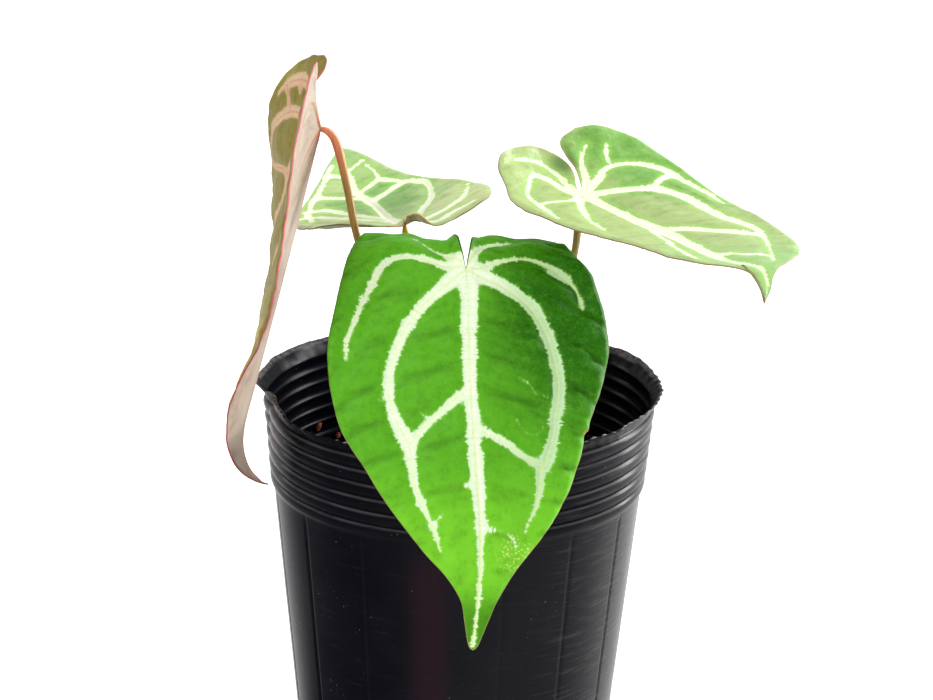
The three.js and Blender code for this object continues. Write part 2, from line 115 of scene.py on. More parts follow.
def thicken(piece, thickness, offset):
    """Gives a sheet its thickness: below its face with offset -1, and to both sides with offset 0."""
    wall = piece.modifiers.new("thickness", "SOLIDIFY")
    wall.thickness = thickness * MM
    wall.offset = offset
    apply_all(piece)


def spin_profile(name, profile, steps):
    """A closed body spun round the pot's axis from points of radius and height."""
    profile = np.asarray(profile, float)
    deselect()
    bpy.ops.mesh.primitive_circle_add(vertices=len(profile), radius=1)
    piece = named(name)
    move_to(piece, np.stack([profile[:, 0], np.zeros(len(profile)), profile[:, 1]], 1))
    bpy.ops.object.mode_set(mode="EDIT")
    bpy.ops.mesh.select_all(action="SELECT")
    bpy.ops.mesh.spin(steps=steps, angle=2 * math.pi, center=(0, 0, 0), axis=(0, 0, 1))
    bpy.ops.object.mode_set(mode="OBJECT")
    weld(piece, 0.01, outward=True)
    return piece


def settle(piece, material, nodes, smooth=True):
    """Gives a finished piece its finish, its body and the part that it stands for."""
    make_one(piece)
    bpy.ops.object.transform_apply(location=True, rotation=True, scale=True)
    if smooth:
        bpy.ops.object.shade_smooth()
    piece.data.materials.clear()
    piece.data.materials.append(material)
    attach(piece, ROOT)
    if nodes:
        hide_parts(*nodes)
    return piece


def mark(piece, name, values):
    """Stores one number per corner point, for the finish to read."""
    made = piece.data.attributes.new(name, "FLOAT", "POINT")
    made.data.foreach_set("value", np.asarray(values, np.float32))


FINE_STEPS = 12
# a line that rises by more than this is measured in space, any other along its first two columns
SPACE_RISE = 20


def curve_between(t, gap, first, first_slope, second, second_slope):
    """A smooth curve from one value to the next that keeps both slopes; t runs from 0 to 1."""
    return (
        (2 * t**3 - 3 * t**2 + 1) * first
        + (t**3 - 2 * t**2 + t) * gap * first_slope
        + (3 * t**2 - 2 * t**3) * second
        + (t**3 - t**2) * gap * second_slope
    )


def smooth_line(points, count):
    """Points evenly along a smooth line through the given ones; a third column is a height or a width."""
    given = np.asarray(points, float)
    gaps = np.sqrt(np.linalg.norm(np.diff(given, axis=0), axis=1)) + 1e-6
    knots = np.concatenate([[0], np.cumsum(gaps)])
    slopes = np.empty_like(given)
    slopes[1:-1] = (given[2:] - given[:-2]) / (knots[2:] - knots[:-2])[:, None]
    slopes[0] = (given[1] - given[0]) / gaps[0]
    slopes[-1] = (given[-1] - given[-2]) / gaps[-1]
    u = np.linspace(0, knots[-1], FINE_STEPS * len(given))
    i = np.clip(np.searchsorted(knots, u, side="right") - 1, 0, len(given) - 2)
    t = ((u - knots[i]) / gaps[i])[:, None]
    fine = curve_between(t, gaps[i][:, None], given[i], slopes[i], given[i + 1], slopes[i + 1])
    in_space = given.shape[1] > 2 and np.ptp(given[:, 2]) > SPACE_RISE
    measured = fine if in_space else fine[:, :2]
    run = np.concatenate([[0], np.cumsum(np.linalg.norm(np.diff(measured, axis=0), axis=1))])
    even = np.linspace(0, run[-1], count)
    return np.stack([np.interp(even, run, fine[:, c]) for c in range(given.shape[1])], axis=1)


def rise(value, low, high):
    """A smooth step from 0 at low to 1 at high."""
    t = np.clip((np.asarray(value, float) - low) / (high - low), 0, 1)
    return t * t * (3 - 2 * t)


# Finish helpers

LIGHT_ON_LEAVES = 1.4


def seen(red, green, blue):
    """The share of light that a surface returns which looks like this screen colour in the studio light."""
    def one(c):
        c /= 255
        value = c / 12.92 if c <= 0.04045 else ((c + 0.055) / 1.055) ** 2.4
        return value / LIGHT_ON_LEAVES
    return one(red), one(green), one(blue), 1.0


def fill(tree, node, values):
    """Fills a node's inputs; one given as a socket is linked."""
    for key, value in values.items():
        if isinstance(value, bpy.types.NodeSocket):
            tree.links.new(value, node.inputs[key])
        else:
            node.inputs[key].default_value = value
    return node


def put(tree, kind, values=None, **settings):
    """Adds a node with its settings and inputs."""
    made = tree.nodes.new("ShaderNode" + kind)
    for key, value in settings.items():
        setattr(made, key, value)
    return fill(tree, made, values or {})


def calc(tree, operation, first, second=0.0):
    return put(tree, "Math", {0: first, 1: second}, operation=operation).outputs[0]


def plus(tree, first, second):
    return calc(tree, "ADD", first, second)


def less(tree, first, second):
    return calc(tree, "SUBTRACT", first, second)


def times(tree, first, second):
    return calc(tree, "MULTIPLY", first, second)


def swing(tree, value, amount):
    """A noise from 0 to 1 made to swing about 0."""
    return times(tree, less(tree, value, 0.5), amount)


def long_side(tree, first, second):
    """The long side of a right triangle with these two sides."""
    return calc(tree, "SQRT", plus(tree, calc(tree, "POWER", first, 2.0), calc(tree, "POWER", second, 2.0)))


def ramp(tree, value, low, high, start=0.0, end=1.0):
    made = put(
        tree,
        "MapRange",
        {"Value": value, "From Min": low, "From Max": high, "To Min": start, "To Max": end},
        interpolation_type="SMOOTHSTEP",
    )
    return made.outputs["Result"]


def between(tree, value, low, full_low, full_high, high):
    """1 between two values and 0 beyond them, with soft ends."""
    return times(tree, ramp(tree, value, low, full_low), ramp(tree, value, full_high, high, 1.0, 0.0))


def mix(tree, share, first, second, way="MIX"):
    made = put(tree, "Mix", {0: share, 6: first, 7: second}, data_type="RGBA", blend_type=way)
    return made.outputs[2]


def coats(tree, colour, layers):
    """Lays colours over one another, each with the share that it covers."""
    for share, over in layers:
        colour = mix(tree, share, colour, over)
    return colour


def grain(tree, where, scale, detail=3.0, roughness=0.55):
    made = put(
        tree, "TexNoise", {"Vector": where, "Scale": scale, "Detail": detail, "Roughness": roughness}
    )
    return made.outputs["Fac"]


def stretched(tree, where, scale=(1, 1, 1), turn=(0, 0, 0)):
    made = put(tree, "Mapping", {"Vector": where, "Scale": scale, "Rotation": turn})
    return made.outputs["Vector"]


def carried(tree, name):
    """A number stored on the piece's own points."""
    return put(tree, "Attribute", attribute_name=name).outputs["Fac"]


def object_place(tree):
    return put(tree, "TexCoord").outputs["Object"]


def new_finish(name, **shader):
    made = bpy.data.materials.new(name)
    made.use_nodes = True
    tree = made.node_tree
    surface = tree.nodes["Principled BSDF"]
    for key, value in shader.items():
        surface.inputs[key.replace("_", " ")].default_value = value
    return made, tree, surface


def bump(tree, surface, height, strength, distance):
    made = put(tree, "Bump", {"Height": height, "Strength": strength, "Distance": distance * MM})
    tree.links.new(made.outputs["Normal"], surface.inputs["Normal"])


def new_group(name, inputs, outputs):
    """An empty node group with number inputs and outputs; a vector input is given as None."""
    tree = bpy.data.node_groups.new(name, "ShaderNodeTree")
    for label, value in inputs.items():
        kind = "NodeSocketVector" if value is None else "NodeSocketFloat"
        made = tree.interface.new_socket(label, in_out="INPUT", socket_type=kind)
        if value is not None:
            made.default_value = value
    for label in outputs:
        tree.interface.new_socket(label, in_out="OUTPUT", socket_type="NodeSocketFloat")
    return tree, tree.nodes.new("NodeGroupInput"), tree.nodes.new("NodeGroupOutput")


def place_group(tree, group, values):
    """Places a shared effect in a material, with this material's own values."""
    made = tree.nodes.new("ShaderNodeGroup")
    made.node_tree = group
    return fill(tree, made, values).outputs


# Camera, placed as the photographer stood

CAMERA_PLACE = (1.838, -726.404, 374.314)
CAMERA_PITCH = 18.1
CAMERA_ROLL = 1.2
CAMERA_LENS = 100
CAMERA_SENSOR = 36

deselect()
bpy.ops.object.camera_add(location=[c * MM for c in CAMERA_PLACE])
camera = bpy.context.object
camera.name = "studio_camera"
camera.data.lens = CAMERA_LENS
camera.data.sensor_width = CAMERA_SENSOR
camera.data.clip_start = 0.01
tilt = Matrix.Rotation(math.radians(90 - CAMERA_PITCH), 4, "X")
roll = Matrix.Rotation(math.radians(CAMERA_ROLL), 4, "Z")
camera.rotation_euler = (tilt @ roll).to_euler()
bpy.context.scene.camera = camera


# Leaf blades: drawn flat, x across and y from the stalk to the tip, then laid along the midrib

# shares of a blade's length at which its lift from the midrib is stated
STATIONS = np.array([-0.25, 0, 0.25, 0.5, 0.75, 1])
BLADE_THICKNESS = 0.4

# Angles in degrees. The heading is the bearing that the blade points to and the pitch how far it hangs.
# Lift and curl say how each half rises from the midrib. A half's outline runs from the sinus to the tip.
BLADES = {
    "front": dict(
        length=106.2, attach=(1.2, -40, 173.7), heading=-83.8, turn=0, pitch=48, droop=35, power=0.8,
        hook=0, lobe_bend=3.6, sinus_lift=7, sinus_dip=(0.4, 2), roll=0, twist=0,
        lift_plus=(-3, -6, -6, -6, -6, -6), lift_minus=(3, -6, -6, -6, -6, -6),
        curl_plus=-0.25, curl_minus=-0.15,
        plus=((0, 0), (1.2, -4.5), (3.2, -12), (6.5, -19), (12.5, -24.5), (20.5, -25), (28, -19),
              (32.5, -9.5), (36.5, -0.5), (39.3, 10.9), (40.2, 19), (39.5, 26.5), (36.6, 36), (33.6, 43.5),
              (32.9, 46.2), (31.9, 47.2), (31.6, 49), (30.4, 54), (26.5, 64), (20.5, 74), (12.5, 83.5),
              (6.9, 92), (3.9, 98.5), (2.2, 102.6), (1.2, 105), (0.4, 106), (-0.3, 106.3)),
        minus=((0, 0), (-1, -4.5), (-2.4, -12), (-5.5, -19), (-11.5, -25.5), (-20, -26), (-27.5, -20),
               (-32, -9), (-34.4, 0), (-36.9, 10.6), (-38.5, 17.7), (-39, 25), (-38.3, 34), (-35.5, 45.4),
               (-29.5, 55.6), (-23.5, 65.7), (-13.6, 79), (-7.7, 85.6), (-3.7, 92.2), (-2.5, 98.9),
               (-1.9, 103), (-1.4, 105.2), (-0.8, 106.1), (-0.3, 106.3)),
    ),
    "right": dict(
        length=97, attach=(33.9, -9, 186.5), heading=-52, turn=-18, pitch=7, droop=-17, power=1,
        hook=75, lobe_bend=-1.7, sinus_lift=0, sinus_dip=(0, 0), roll=6, twist=-6,
        lift_plus=(13, 11, 9, 7, 5, 3), lift_minus=(11, 10, 9, 8, 7, 6),
        curl_plus=-0.45, curl_minus=0.05,
        plus=((0, 0), (3.6, -5), (6.7, -12), (6.9, -18), (8, -23), (14.5, -25.4), (21, -24.2), (26, -21),
              (31.4, -15), (34, -7), (34.2, 1), (32.8, 9), (31.3, 18), (30.4, 28), (30.5, 39), (28.6, 52),
              (26, 62), (20.3, 72.8), (13.8, 79.2), (7, 84), (3.8, 87.5), (1.4, 91.5), (-1.8, 95.4)),
        minus=((0, 0), (2.4, -5.5), (5.2, -10.5), (5.7, -15.3), (3.6, -20.3), (-0.5, -23.8), (-8.3, -24.6),
               (-15, -23), (-18.6, -18.5), (-20.5, -12.5), (-22.8, -7), (-25.6, -1), (-26.8, 7),
               (-25.6, 15), (-24.4, 24), (-22.4, 33), (-19, 41), (-16.2, 49), (-15.3, 60), (-14.4, 69),
               (-10.5, 75.2), (-4.5, 78.5), (-1.4, 83), (-0.8, 88), (-1.8, 95.4)),
    ),
    "back": dict(
        length=84, attach=(-17.2, 6.5, 173.2), heading=107, turn=-3, pitch=12, droop=-30, power=1,
        hook=10, lobe_bend=0.3, sinus_lift=4, sinus_dip=(0, 0), roll=-7, twist=0,
        lift_plus=(18, 10.5, 6.5, 1, -0.5, -2), lift_minus=(9, 10, 8.5, 7, 5.5, 4),
        curl_plus=-0.25, curl_minus=0.15,
        plus=((0, 0), (1, -5), (3.5, -12), (8.5, -18), (15.5, -19.5), (21.5, -16.5), (26, -9), (28.6, 3),
              (29, 15), (27, 27), (22.5, 41.5), (17.2, 52), (12, 62), (6.4, 73.7), (3.2, 79.5), (0, 83)),
        minus=((0, 0), (0.4, -5), (1.2, -12), (-1.2, -18), (-6, -20.7), (-12, -19), (-17.5, -16.4),
               (-23, -13), (-26.3, -7.6), (-28.6, 2.4), (-29.4, 14.4), (-28, 25), (-25.6, 34),
               (-20.5, 42.5), (-15.7, 51.5), (-11.3, 60.5), (-7.6, 69.8), (-3, 79), (0, 83)),
    ),
    "left": dict(
        length=111.4, attach=(-40.4, -22.9, 208.3), heading=188.3, turn=-2.8, pitch=76.8, droop=-2.2,
        power=1, hook=87.5, lobe_bend=0.1, sinus_lift=0, sinus_dip=(0, 0), roll=0, twist=0,
        lift_plus=(27, 23.5, 18.5, 16, 26, 23), lift_minus=(3, 23, 13.5, 5.5, 8, 51),
        curl_plus=-0.45, curl_minus=-0.4,
        plus=((0, 0), (2.1, -2.3), (7, -6.3), (13.5, -11), (16.5, -15), (19, -19.3), (21.5, -21.4),
              (25.5, -20.4), (31.7, -14.7), (36.7, -5.4), (39.5, 6.7), (41.2, 20), (40.7, 31.1),
              (37.8, 42.2), (33.4, 52.3), (27.3, 64.6), (21.1, 75.6), (13.4, 88), (6.7, 98),
              (2.7, 105.1), (0, 111.4)),
        minus=((0, 0), (-2, -2.4), (-5, -5.2), (-9, -7.8), (-10.9, -10), (-9.2, -12.2), (-7.8, -15),
               (-8.6, -17.6), (-12, -18.2), (-17.2, -16.8), (-23.4, -15.2), (-31.7, -10.3),
               (-36.7, -3.9), (-39.5, 6.7), (-41.2, 20), (-40.7, 31.1), (-37.8, 42.2), (-33.4, 52.3),
               (-27.3, 64.6), (-21.1, 75.6), (-13.4, 88), (-6.7, 98), (-2.7, 105.1), (0, 111.4)),
    ),
}

# Vein bands of each blade: points of x, y and half width; the first of a blade is its midrib.
VEINS = {
    "front": (
        ((0, 0, 3), (0.3, 4, 3.1), (0.4, 9, 2.6), (0, 20, 2.2), (-0.2, 30, 1.95), (0.2, 41, 2), (1, 57, 1.95),
         (1.7, 68, 1.8), (1.9, 76, 1.2), (1.7, 85, 0.75), (0.8, 96, 0.3), (-0.4, 105, 0.1)),
        ((-1, 1, 2.6), (-5, 4.2, 2.4), (-8.2, 6.7, 2.1), (-13.2, 11.4, 1.7), (-17.5, 17.3, 1.7),
         (-20.3, 23.3, 1.55), (-22.3, 31, 1.5), (-22, 38.5, 1.6), (-19.8, 44.5, 2), (-17.4, 49, 2.5),
         (-16.8, 53.5, 1.4), (-15.7, 61, 1.1), (-13.4, 67.5, 0.9), (-11, 72.5, 0.75), (-9.1, 78.7, 0.2)),
        ((-1.1, 34.9, 1.5), (-7.1, 39.5, 1.15), (-13.1, 45, 1.15), (-17, 49.6, 1.3)),
        ((-1, -0.5, 2), (-5, -1, 1.5), (-11.9, -4.4, 1.15), (-18.1, -5.7, 1.1), (-23.1, -2.8, 1.15),
         (-25.8, 2.4, 1.25), (-28.5, 7.3, 0.85), (-31.2, 13.5, 0.7), (-33.6, 19.2, 0.45),
         (-34.1, 24.5, 0.45)),
        ((-1.5, -2, 2.2), (-5, -5.6, 0.9), (-9.3, -10.1, 0.35), (-13.4, -16.3, 0.25)),
        ((0.8, 0.6, 2.6), (5, 2.8, 2.4), (9.9, 5, 2.1), (16, 9.1, 2), (20.3, 14.6, 2.05), (22.9, 21.2, 1.95),
         (24.6, 28.9, 1.9), (25, 35.1, 1.9), (23.7, 41.6, 1.8), (22.8, 48, 1.6), (20.9, 54, 2.1),
         (19, 58, 1.4), (18.8, 62.3, 1), (17.3, 68, 0.6), (15.3, 71.7, 0.4), (14.5, 74.2, 0.2)),
        ((1.6, 45.6, 1.4), (7.9, 48.6, 1.1), (14.6, 53.4, 1.1), (19.5, 56, 1.3)),
        ((1.5, 0, 1.9), (4.5, -0.3, 1.3), (9.7, -2.7, 0.85), (17.2, -4.7, 0.75), (23.7, -2.5, 1.2),
         (26.8, 0.2, 1.8), (29.8, 2.5, 1.05), (32, 5.5, 0.6), (33.3, 10.5, 0.45)),
        ((1, -1, 1.8), (2.6, -4.2, 1.1), (6.3, -9.2, 0.55), (11.8, -11.6, 0.45), (14, -13.4, 0.2)),
        ((-22.3, 35.5, 0.8), (-25.4, 36.9, 0.15)),
        ((1, 60.4, 1), (-1.8, 60.8, 0.25)),
        ((-10.8, 71.4, 0.6), (-8.5, 68.6, 0.12)),
        ((2, 72, 1), (4.6, 73.1, 0.55), (7.6, 73.3, 0.12)),
        ((9.4, 74.3, 0.1), (11, 76, 0.15), (11.4, 78.4, 0.1)),
        ((26.8, 0.6, 0.8), (22.6, -0.2, 0.15)),
        ((13.4, 31.6, -0.25), (16.4, 33.6, -0.05), (18, 36, 0), (21.4, 36.8, -0.3)),
        ((11.9, 42.6, -0.3), (13.4, 45.4, -0.2), (16, 47.2, -0.2), (18.6, 46.8, -0.2), (19.8, 45, -0.3)),
        ((-14.2, 38.9, -0.35), (-13.6, 41, -0.3), (-11.4, 42.2, -0.3)),
    ),
    "right": (
        ((0, 0, 2.4), (0.6, 8.7, 1.7), (0.8, 16.1, 1.75), (0.6, 23.9, 2), (1.1, 31.2, 2.3), (1.5, 38.5, 2.1),
         (0.9, 47.5, 1.8), (-0.4, 60.7, 2), (-1, 67.6, 1.8), (0, 73, 1.1), (2.2, 78.5, 0.9), (2.8, 83.6, 0.6),
         (1.4, 89.9, 0.25)),
        ((1, 0.5, 1.6), (9.5, 5.3, 1.6), (15.6, 9, 1.9), (19.2, 13.5, 1.85), (21, 21, 2), (20.7, 30.8, 1.75),
         (20.6, 36.5, 1.8), (22, 41.6, 1.7), (22.8, 49.2, 1.3), (20.5, 56, 0.7), (15.8, 65.5, 0.4),
         (9.7, 77.1, 0.2)),
        ((1, -0.3, 1.8), (7.7, -2.9, 1.4), (14.5, -7, 1.15), (21.2, -6.1, 1.05), (26.6, -1.7, 1.4),
         (28.5, 3.5, 1.85), (28.7, 10.5, 1.15), (28.8, 21, 0.9), (28.2, 28, 0.6)),
        ((16.8, -9.5, 0.5), (18.2, -12.5, 0.6), (20.6, -16.2, 0.3)),
        ((2.5, -1.5, 1.6), (5.8, -5.2, 1.2), (10.3, -14, 0.75), (14.9, -18.5, 0.4)),
        ((28, 6, 1), (22.4, 8.1, 0.95), (18.5, 10, 0.9)),
        ((1.4, 33.5, 1.5), (6.3, 37.8, 1.45), (12.8, 45.4, 1.6), (20.5, 53.5, 1.7)),
        ((-0.8, 62, 0.8), (6.3, 69.3, 0.8), (11.2, 72.8, 0.85)),
        ((-1, 34, 0.8), (-5.4, 50.1, 0.6), (-9.3, 65.8, 0.8), (-9.9, 70, 0.6)),
        ((-1, 0.5, 1.6), (-7.1, 8.3, 1.1), (-12.1, 19.3, 0.8), (-13.9, 29.5, 0.5)),
        ((-1, -0.5, 1.5), (-2, -4.5, 1.35), (-4.2, -10.8, 1.3), (-8, -13.7, 0.85), (-12, -10.2, 0.6),
         (-17, -4, 0.75), (-19.4, 6.9, 0.9), (-20.6, 15.4, 0.8)),
        ((-1, 1, 0.8), (-10.7, 3.4, 0.7), (-18.1, 3.1, 0.8)),
        ((0.2, -3, 1.3), (0.7, -11.7, 0.8), (-1.4, -17.2, 0.8), (-6.1, -19.8, 0.5), (-10.5, -20.6, 0.35)),
    ),
    "back": (
        ((0, 0, 2.3), (0.8, 12.2, 1.9), (0.1, 30, 1.55), (0.8, 39.7, 1.75), (3, 51, 1.4), (2.2, 60, 1.25),
         (3, 72, 1), (0.5, 82, 0.25)),
        ((0.8, 38, 1.6), (-4.8, 42, 1.5), (-10.8, 46.2, 1.7), (-14.5, 46.2, 1.7), (-16.9, 41.8, 1.4)),
        ((2.8, 48, 1.2), (-2.7, 52.2, 1.2), (-5.7, 54.6, 1.5), (-8.8, 52, 1.3), (-13, 47, 1.3)),
        ((-6, 54.5, 0.8), (-6, 59.2, 0.55), (-4.3, 67.4, 0.45)),
        ((1.8, 65.8, 0.7), (-0.7, 67.7, 0.55), (-3.6, 70.4, 0.5)),
        ((-0.5, 0, 2), (-5, 3, 1.65), (-9, 11.1, 1.55), (-12.7, 17.6, 1.5), (-15.6, 24, 1.1),
         (-17.9, 35, 0.95), (-17.9, 41.5, 1)),
        ((-0.5, -2, 2), (-4, -6.5, 2.1), (-9, -5.5, 2.1), (-14.8, -2.4, 2), (-19, 2, 1.7), (-22, 7.5, 1.2),
         (-24.7, 14.5, 0.8), (-27, 21.5, 0.4)),
        ((-0.5, -6, 1.6), (-3.6, -12.5, 1.8), (-7, -15, 1.6), (-12, -12, 1.4), (-19.4, -9.4, 0.9)),
        ((6, 71, 0.7), (9.2, 63.5, 0.9), (13.4, 54, 0.95), (18.3, 43.5, 0.95), (21.5, 33, 0.9),
         (22.5, 22, 0.8)),
        ((9, 64.5, 1), (3, 62, 1)),
        ((14.5, 51, 1.1), (3, 43, 1.2)),
        ((20.2, 39.7, 1.4), (14.5, 37.5, 1.5), (10.5, 29, 1.6), (5.5, 19.5, 1.8), (1, 11, 1.8)),
        ((24.7, 31.5, 1.3), (19.5, 30, 1.6), (14.1, 23.2, 1.8), (8, 14, 1.9), (1, 2, 1.8)),
        ((0.8, -0.5, 1.8), (9, 0, 1.6), (17, 6, 1.4), (23, 17, 1)),
        ((1, -2, 1.6), (8, -9, 1.3), (17, -10, 1.1), (24, -1, 0.7)),
    ),
    "left": (
        ((0, 0, 2.2), (0, 15, 1.9), (0, 35, 1.7), (0, 60, 1.5), (0, 85, 0.9), (0, 108, 0.3)),
        ((-0.5, 0, 1.8), (-8, -0.5, 1.9), (-16, 0, 1.9), (-22, 2, 1.9), (-28, 5.5, 1.8), (-33, 9, 1.6),
         (-36.5, 13.5, 1.2), (-38.5, 17.5, 0.9), (-38.5, 21, 0.8)),
        ((-38.5, 21, 0.8), (-34, 21, 0.7), (-27, 19.5, 0.9), (-20, 18, 1), (-15, 18, 1.3)),
        ((-0.5, 1, 1.6), (-6, 6.5, 1.4), (-11, 12, 1.3), (-14.5, 18, 1.5), (-15, 22, 1.2), (-17, 26, 1),
         (-21, 30.5, 1), (-25, 33, 1), (-31, 37, 0.8), (-34, 40, 0.5)),
        ((-33.5, -1, 0.9), (-31, -4, 1.8), (-27, -6.2, 2.2), (-23, -7.8, 2.2), (-19, -8.8, 2),
         (-14, -8.5, 1.6), (-7, -5, 1.6), (-1, -1, 1.7)),
        ((-19.5, -8, 1.5), (-17.5, -5.5, 0.8)),
        ((-29.5, -4, 0.8), (-25, -2.3, 0.7), (-20.5, 0.5, 1.2)),
        ((-0.5, 30, 1.3), (-7, 34, 0.9), (-14, 40, 0.8), (-21, 47.5, 0.7)),
        ((-1, 52, 0.9), (-8, 63, 1), (-10.5, 67, 1), (-14, 72.5, 0.6)),
        ((0.5, 0.5, 1.6), (9, 6, 1.6), (16, 12.5, 1.6), (21.5, 21, 1.5), (24.5, 31, 1.4), (24.5, 42, 1.4),
         (22, 52, 1.5), (17.5, 62, 1.2), (14, 72, 0.8), (10.5, 82, 0.4)),
        ((0.5, -0.5, 1.6), (8, -5.5, 1.4), (16, -10, 1.3), (25, -8.5, 1.3), (31, -1, 1.2), (34, 8, 1),
         (35.5, 18, 0.8), (35.5, 28, 0.5)),
        ((0.5, 40, 1.3), (8, 45, 1.1), (14, 50, 1.1), (21, 54.5, 1.2)),
        ((0.5, 60, 1), (7, 65.5, 0.9), (13, 73, 0.8)),
    ),
}


def lift_at(values, share):
    """The smooth lift between the values stated at the stations."""
    values = np.asarray(values, float)
    last = len(STATIONS) - 1
    slopes = np.empty_like(values)
    for k in range(last + 1):
        low, high = max(k - 1, 0), min(k + 1, last)
        slopes[k] = (values[high] - values[low]) / (STATIONS[high] - STATIONS[low])
    s = np.clip(share, STATIONS[0], STATIONS[-1])
    i = np.searchsorted(STATIONS[1:-1], s, side="left")
    gap = STATIONS[i + 1] - STATIONS[i]
    t = (s - STATIONS[i]) / gap
    return curve_between(t, gap, values[i], slopes[i], values[i + 1], slopes[i + 1])


def midrib_frame(blade, y):
    """Directions along, across and out of the blade at distances y along its midrib."""
    share = y / blade["length"]
    ahead = np.maximum(share, 0)
    hook = blade["hook"] * np.maximum(0, (share - 0.75) / 0.25) ** 2
    bend = np.where(share >= 0, blade["droop"] * ahead ** blade["power"] + hook, blade["lobe_bend"] * y)
    pitch = np.radians(blade["pitch"] + bend)
    heading = np.radians(blade["heading"] + blade["turn"] * share)
    roll = np.radians(blade["roll"] + blade["twist"] * share)[:, None]
    along = np.stack([np.cos(pitch) * np.cos(heading), np.cos(pitch) * np.sin(heading), -np.sin(pitch)], 1)
    level = np.stack([-np.sin(heading), np.cos(heading), np.zeros_like(heading)], 1)
    up = np.cross(along, level)
    return along, level * np.cos(roll) + up * np.sin(roll), up * np.cos(roll) - level * np.sin(roll)


def lay(blade, x, y):
    """Flat points of a blade laid along its midrib, in millimetres."""
    ahead = np.arange(0, blade["length"] + 5)
    behind = -np.arange(0, 0.5 * blade["length"] + 1)
    start = np.array(blade["attach"], float)
    front_steps = np.cumsum(midrib_frame(blade, ahead + 0.5)[0], axis=0)
    back_steps = np.cumsum(midrib_frame(blade, behind - 0.5)[0], axis=0)
    line = np.concatenate([start - back_steps[::-1], [start], start + front_steps])
    marks = np.concatenate([(behind - 1)[::-1], [0], ahead + 1])
    midrib = np.stack([np.interp(y, marks, line[:, c]) for c in range(3)], 1)
    _, side, face = midrib_frame(blade, y)
    right = x >= 0
    share = y / blade["length"]
    lifts = [lift_at(blade[half], share) for half in ("lift_plus", "lift_minus")]
    lift = np.radians(np.where(right, *lifts))
    curl = np.radians(np.where(right, blade["curl_plus"], blade["curl_minus"])) + 1e-9
    reach = np.abs(x)
    across = np.where(right, 1, -1) * (np.sin(lift + curl * reach) - np.sin(lift)) / curl
    height = (np.cos(lift) - np.cos(lift + curl * reach)) / curl
    dip = np.where(right, *blade["sinus_dip"]) * np.exp(-(((reach - 6) / 5) ** 2))
    cup = (blade["sinus_lift"] * np.exp(-((x / 2.4) ** 2)) - dip) * np.clip(-y / 10, 0, 1)
    return midrib + across[:, None] * side + (height + cup)[:, None] * face


BAND_WIDTH = 0.87
FILLET = 0.45
MAIN_VEIN = 1.1
VEIN_STAGGER = 31.0
FAR = 1e3


def to_segment(x, y, start, end):
    """Distance from flat points to a straight piece of line, the share along it, and its length."""
    step = end[:2] - start[:2]
    length = math.hypot(*step) + 1e-9
    t = np.clip(((x - start[0]) * step[0] + (y - start[1]) * step[1]) / length**2, 0, 1)
    return np.hypot(x - start[0] - t * step[0], y - start[1] - t * step[1]), t, length


def vein_field(veins, x, y):
    """For flat points: distance to the bands' edge, to a main vein's middle, and the run along the vein."""
    near = np.full(len(x), FAR)
    nerve = np.full(len(x), FAR)
    run = np.zeros(len(x))
    soft = np.zeros(len(x))
    for number, vein in enumerate(veins):
        line = smooth_line(vein, max(8, 5 * len(vein)))
        best = np.full(len(x), FAR)
        best_run = np.zeros(len(x))
        centre = np.full(len(x), FAR)
        travelled = VEIN_STAGGER * number
        for a, b in zip(line[:-1], line[1:]):
            off, t, length = to_segment(x, y, a, b)
            edge = off - BAND_WIDTH * (a[2] + t * (b[2] - a[2]))
            closer = edge < best
            best = np.where(closer, edge, best)
            best_run = np.where(closer, travelled + t * length, best_run)
            centre = np.minimum(centre, off)
            travelled += length
        soft += np.exp(-np.clip(best, -8, 60) / FILLET)
        run = np.where(best < near, best_run, run)
        near = np.minimum(near, best)
        if max(p[2] for p in vein) > MAIN_VEIN:
            nerve = np.minimum(nerve, centre)
    band = -FILLET * np.log(np.maximum(soft, 1e-30))
    return np.clip(band, -5, 30), nerve, run


def margin_distance(blade, x, y):
    """Distance from flat points to the outline."""
    best = np.full(len(x), FAR)
    for half in ("plus", "minus"):
        line = smooth_line(blade[half], 90)
        for a, b in zip(line[:-1], line[1:]):
            best = np.minimum(best, to_segment(x, y, a, b)[0])
    return best


def ripples(x, y, seed, size):
    """Soft uneven height over a blade: a few slow waves that differ from blade to blade."""
    rng = np.random.default_rng(seed)
    total = np.zeros(len(x))
    for _ in range(9):
        way = rng.uniform(0, math.pi)
        wave = rng.uniform(7, 19)
        phase = rng.uniform(0, 2 * math.pi)
        total += np.sin((x * math.cos(way) + y * math.sin(way)) * 2 * math.pi / wave + phase)
    return size * total / 9


def quilting(x, y, seed):
    """Swells between the fine cross veins, which run outward and a little towards the tip; from 0 to 1."""
    warp = 2.4 * np.sin(x / 8 + seed) + 1.7 * np.sin(y / 10 + x / 15 + 2 * seed)
    coarse = np.abs(np.sin(math.pi * (y - 0.42 * np.abs(x) + warp) / 11.5)) ** 0.6
    fine = np.abs(np.sin(math.pi * (y - 0.15 * np.abs(x) - 0.6 * warp + 3) / 4.6)) ** 0.7
    return 0.68 * coarse + 0.32 * fine


RELIEF = {
    # depth of the veins, slow waves, waves of the margin and swells between the cross veins
    "front": (0.45, 0.6, 0.6, 1.3),
    "right": (0.5, 0.5, 0.6, 0.5),
    "back": (0.5, 0.5, 0.6, 0.5),
    "left": (0.45, 0.5, 0.7, 0.45),
}

ROWS = 170
COLUMNS = 52
OUTLINE_STEPS = 1200
FIRST_ANCHOR = 0.05
FACE_STEP = 0.3


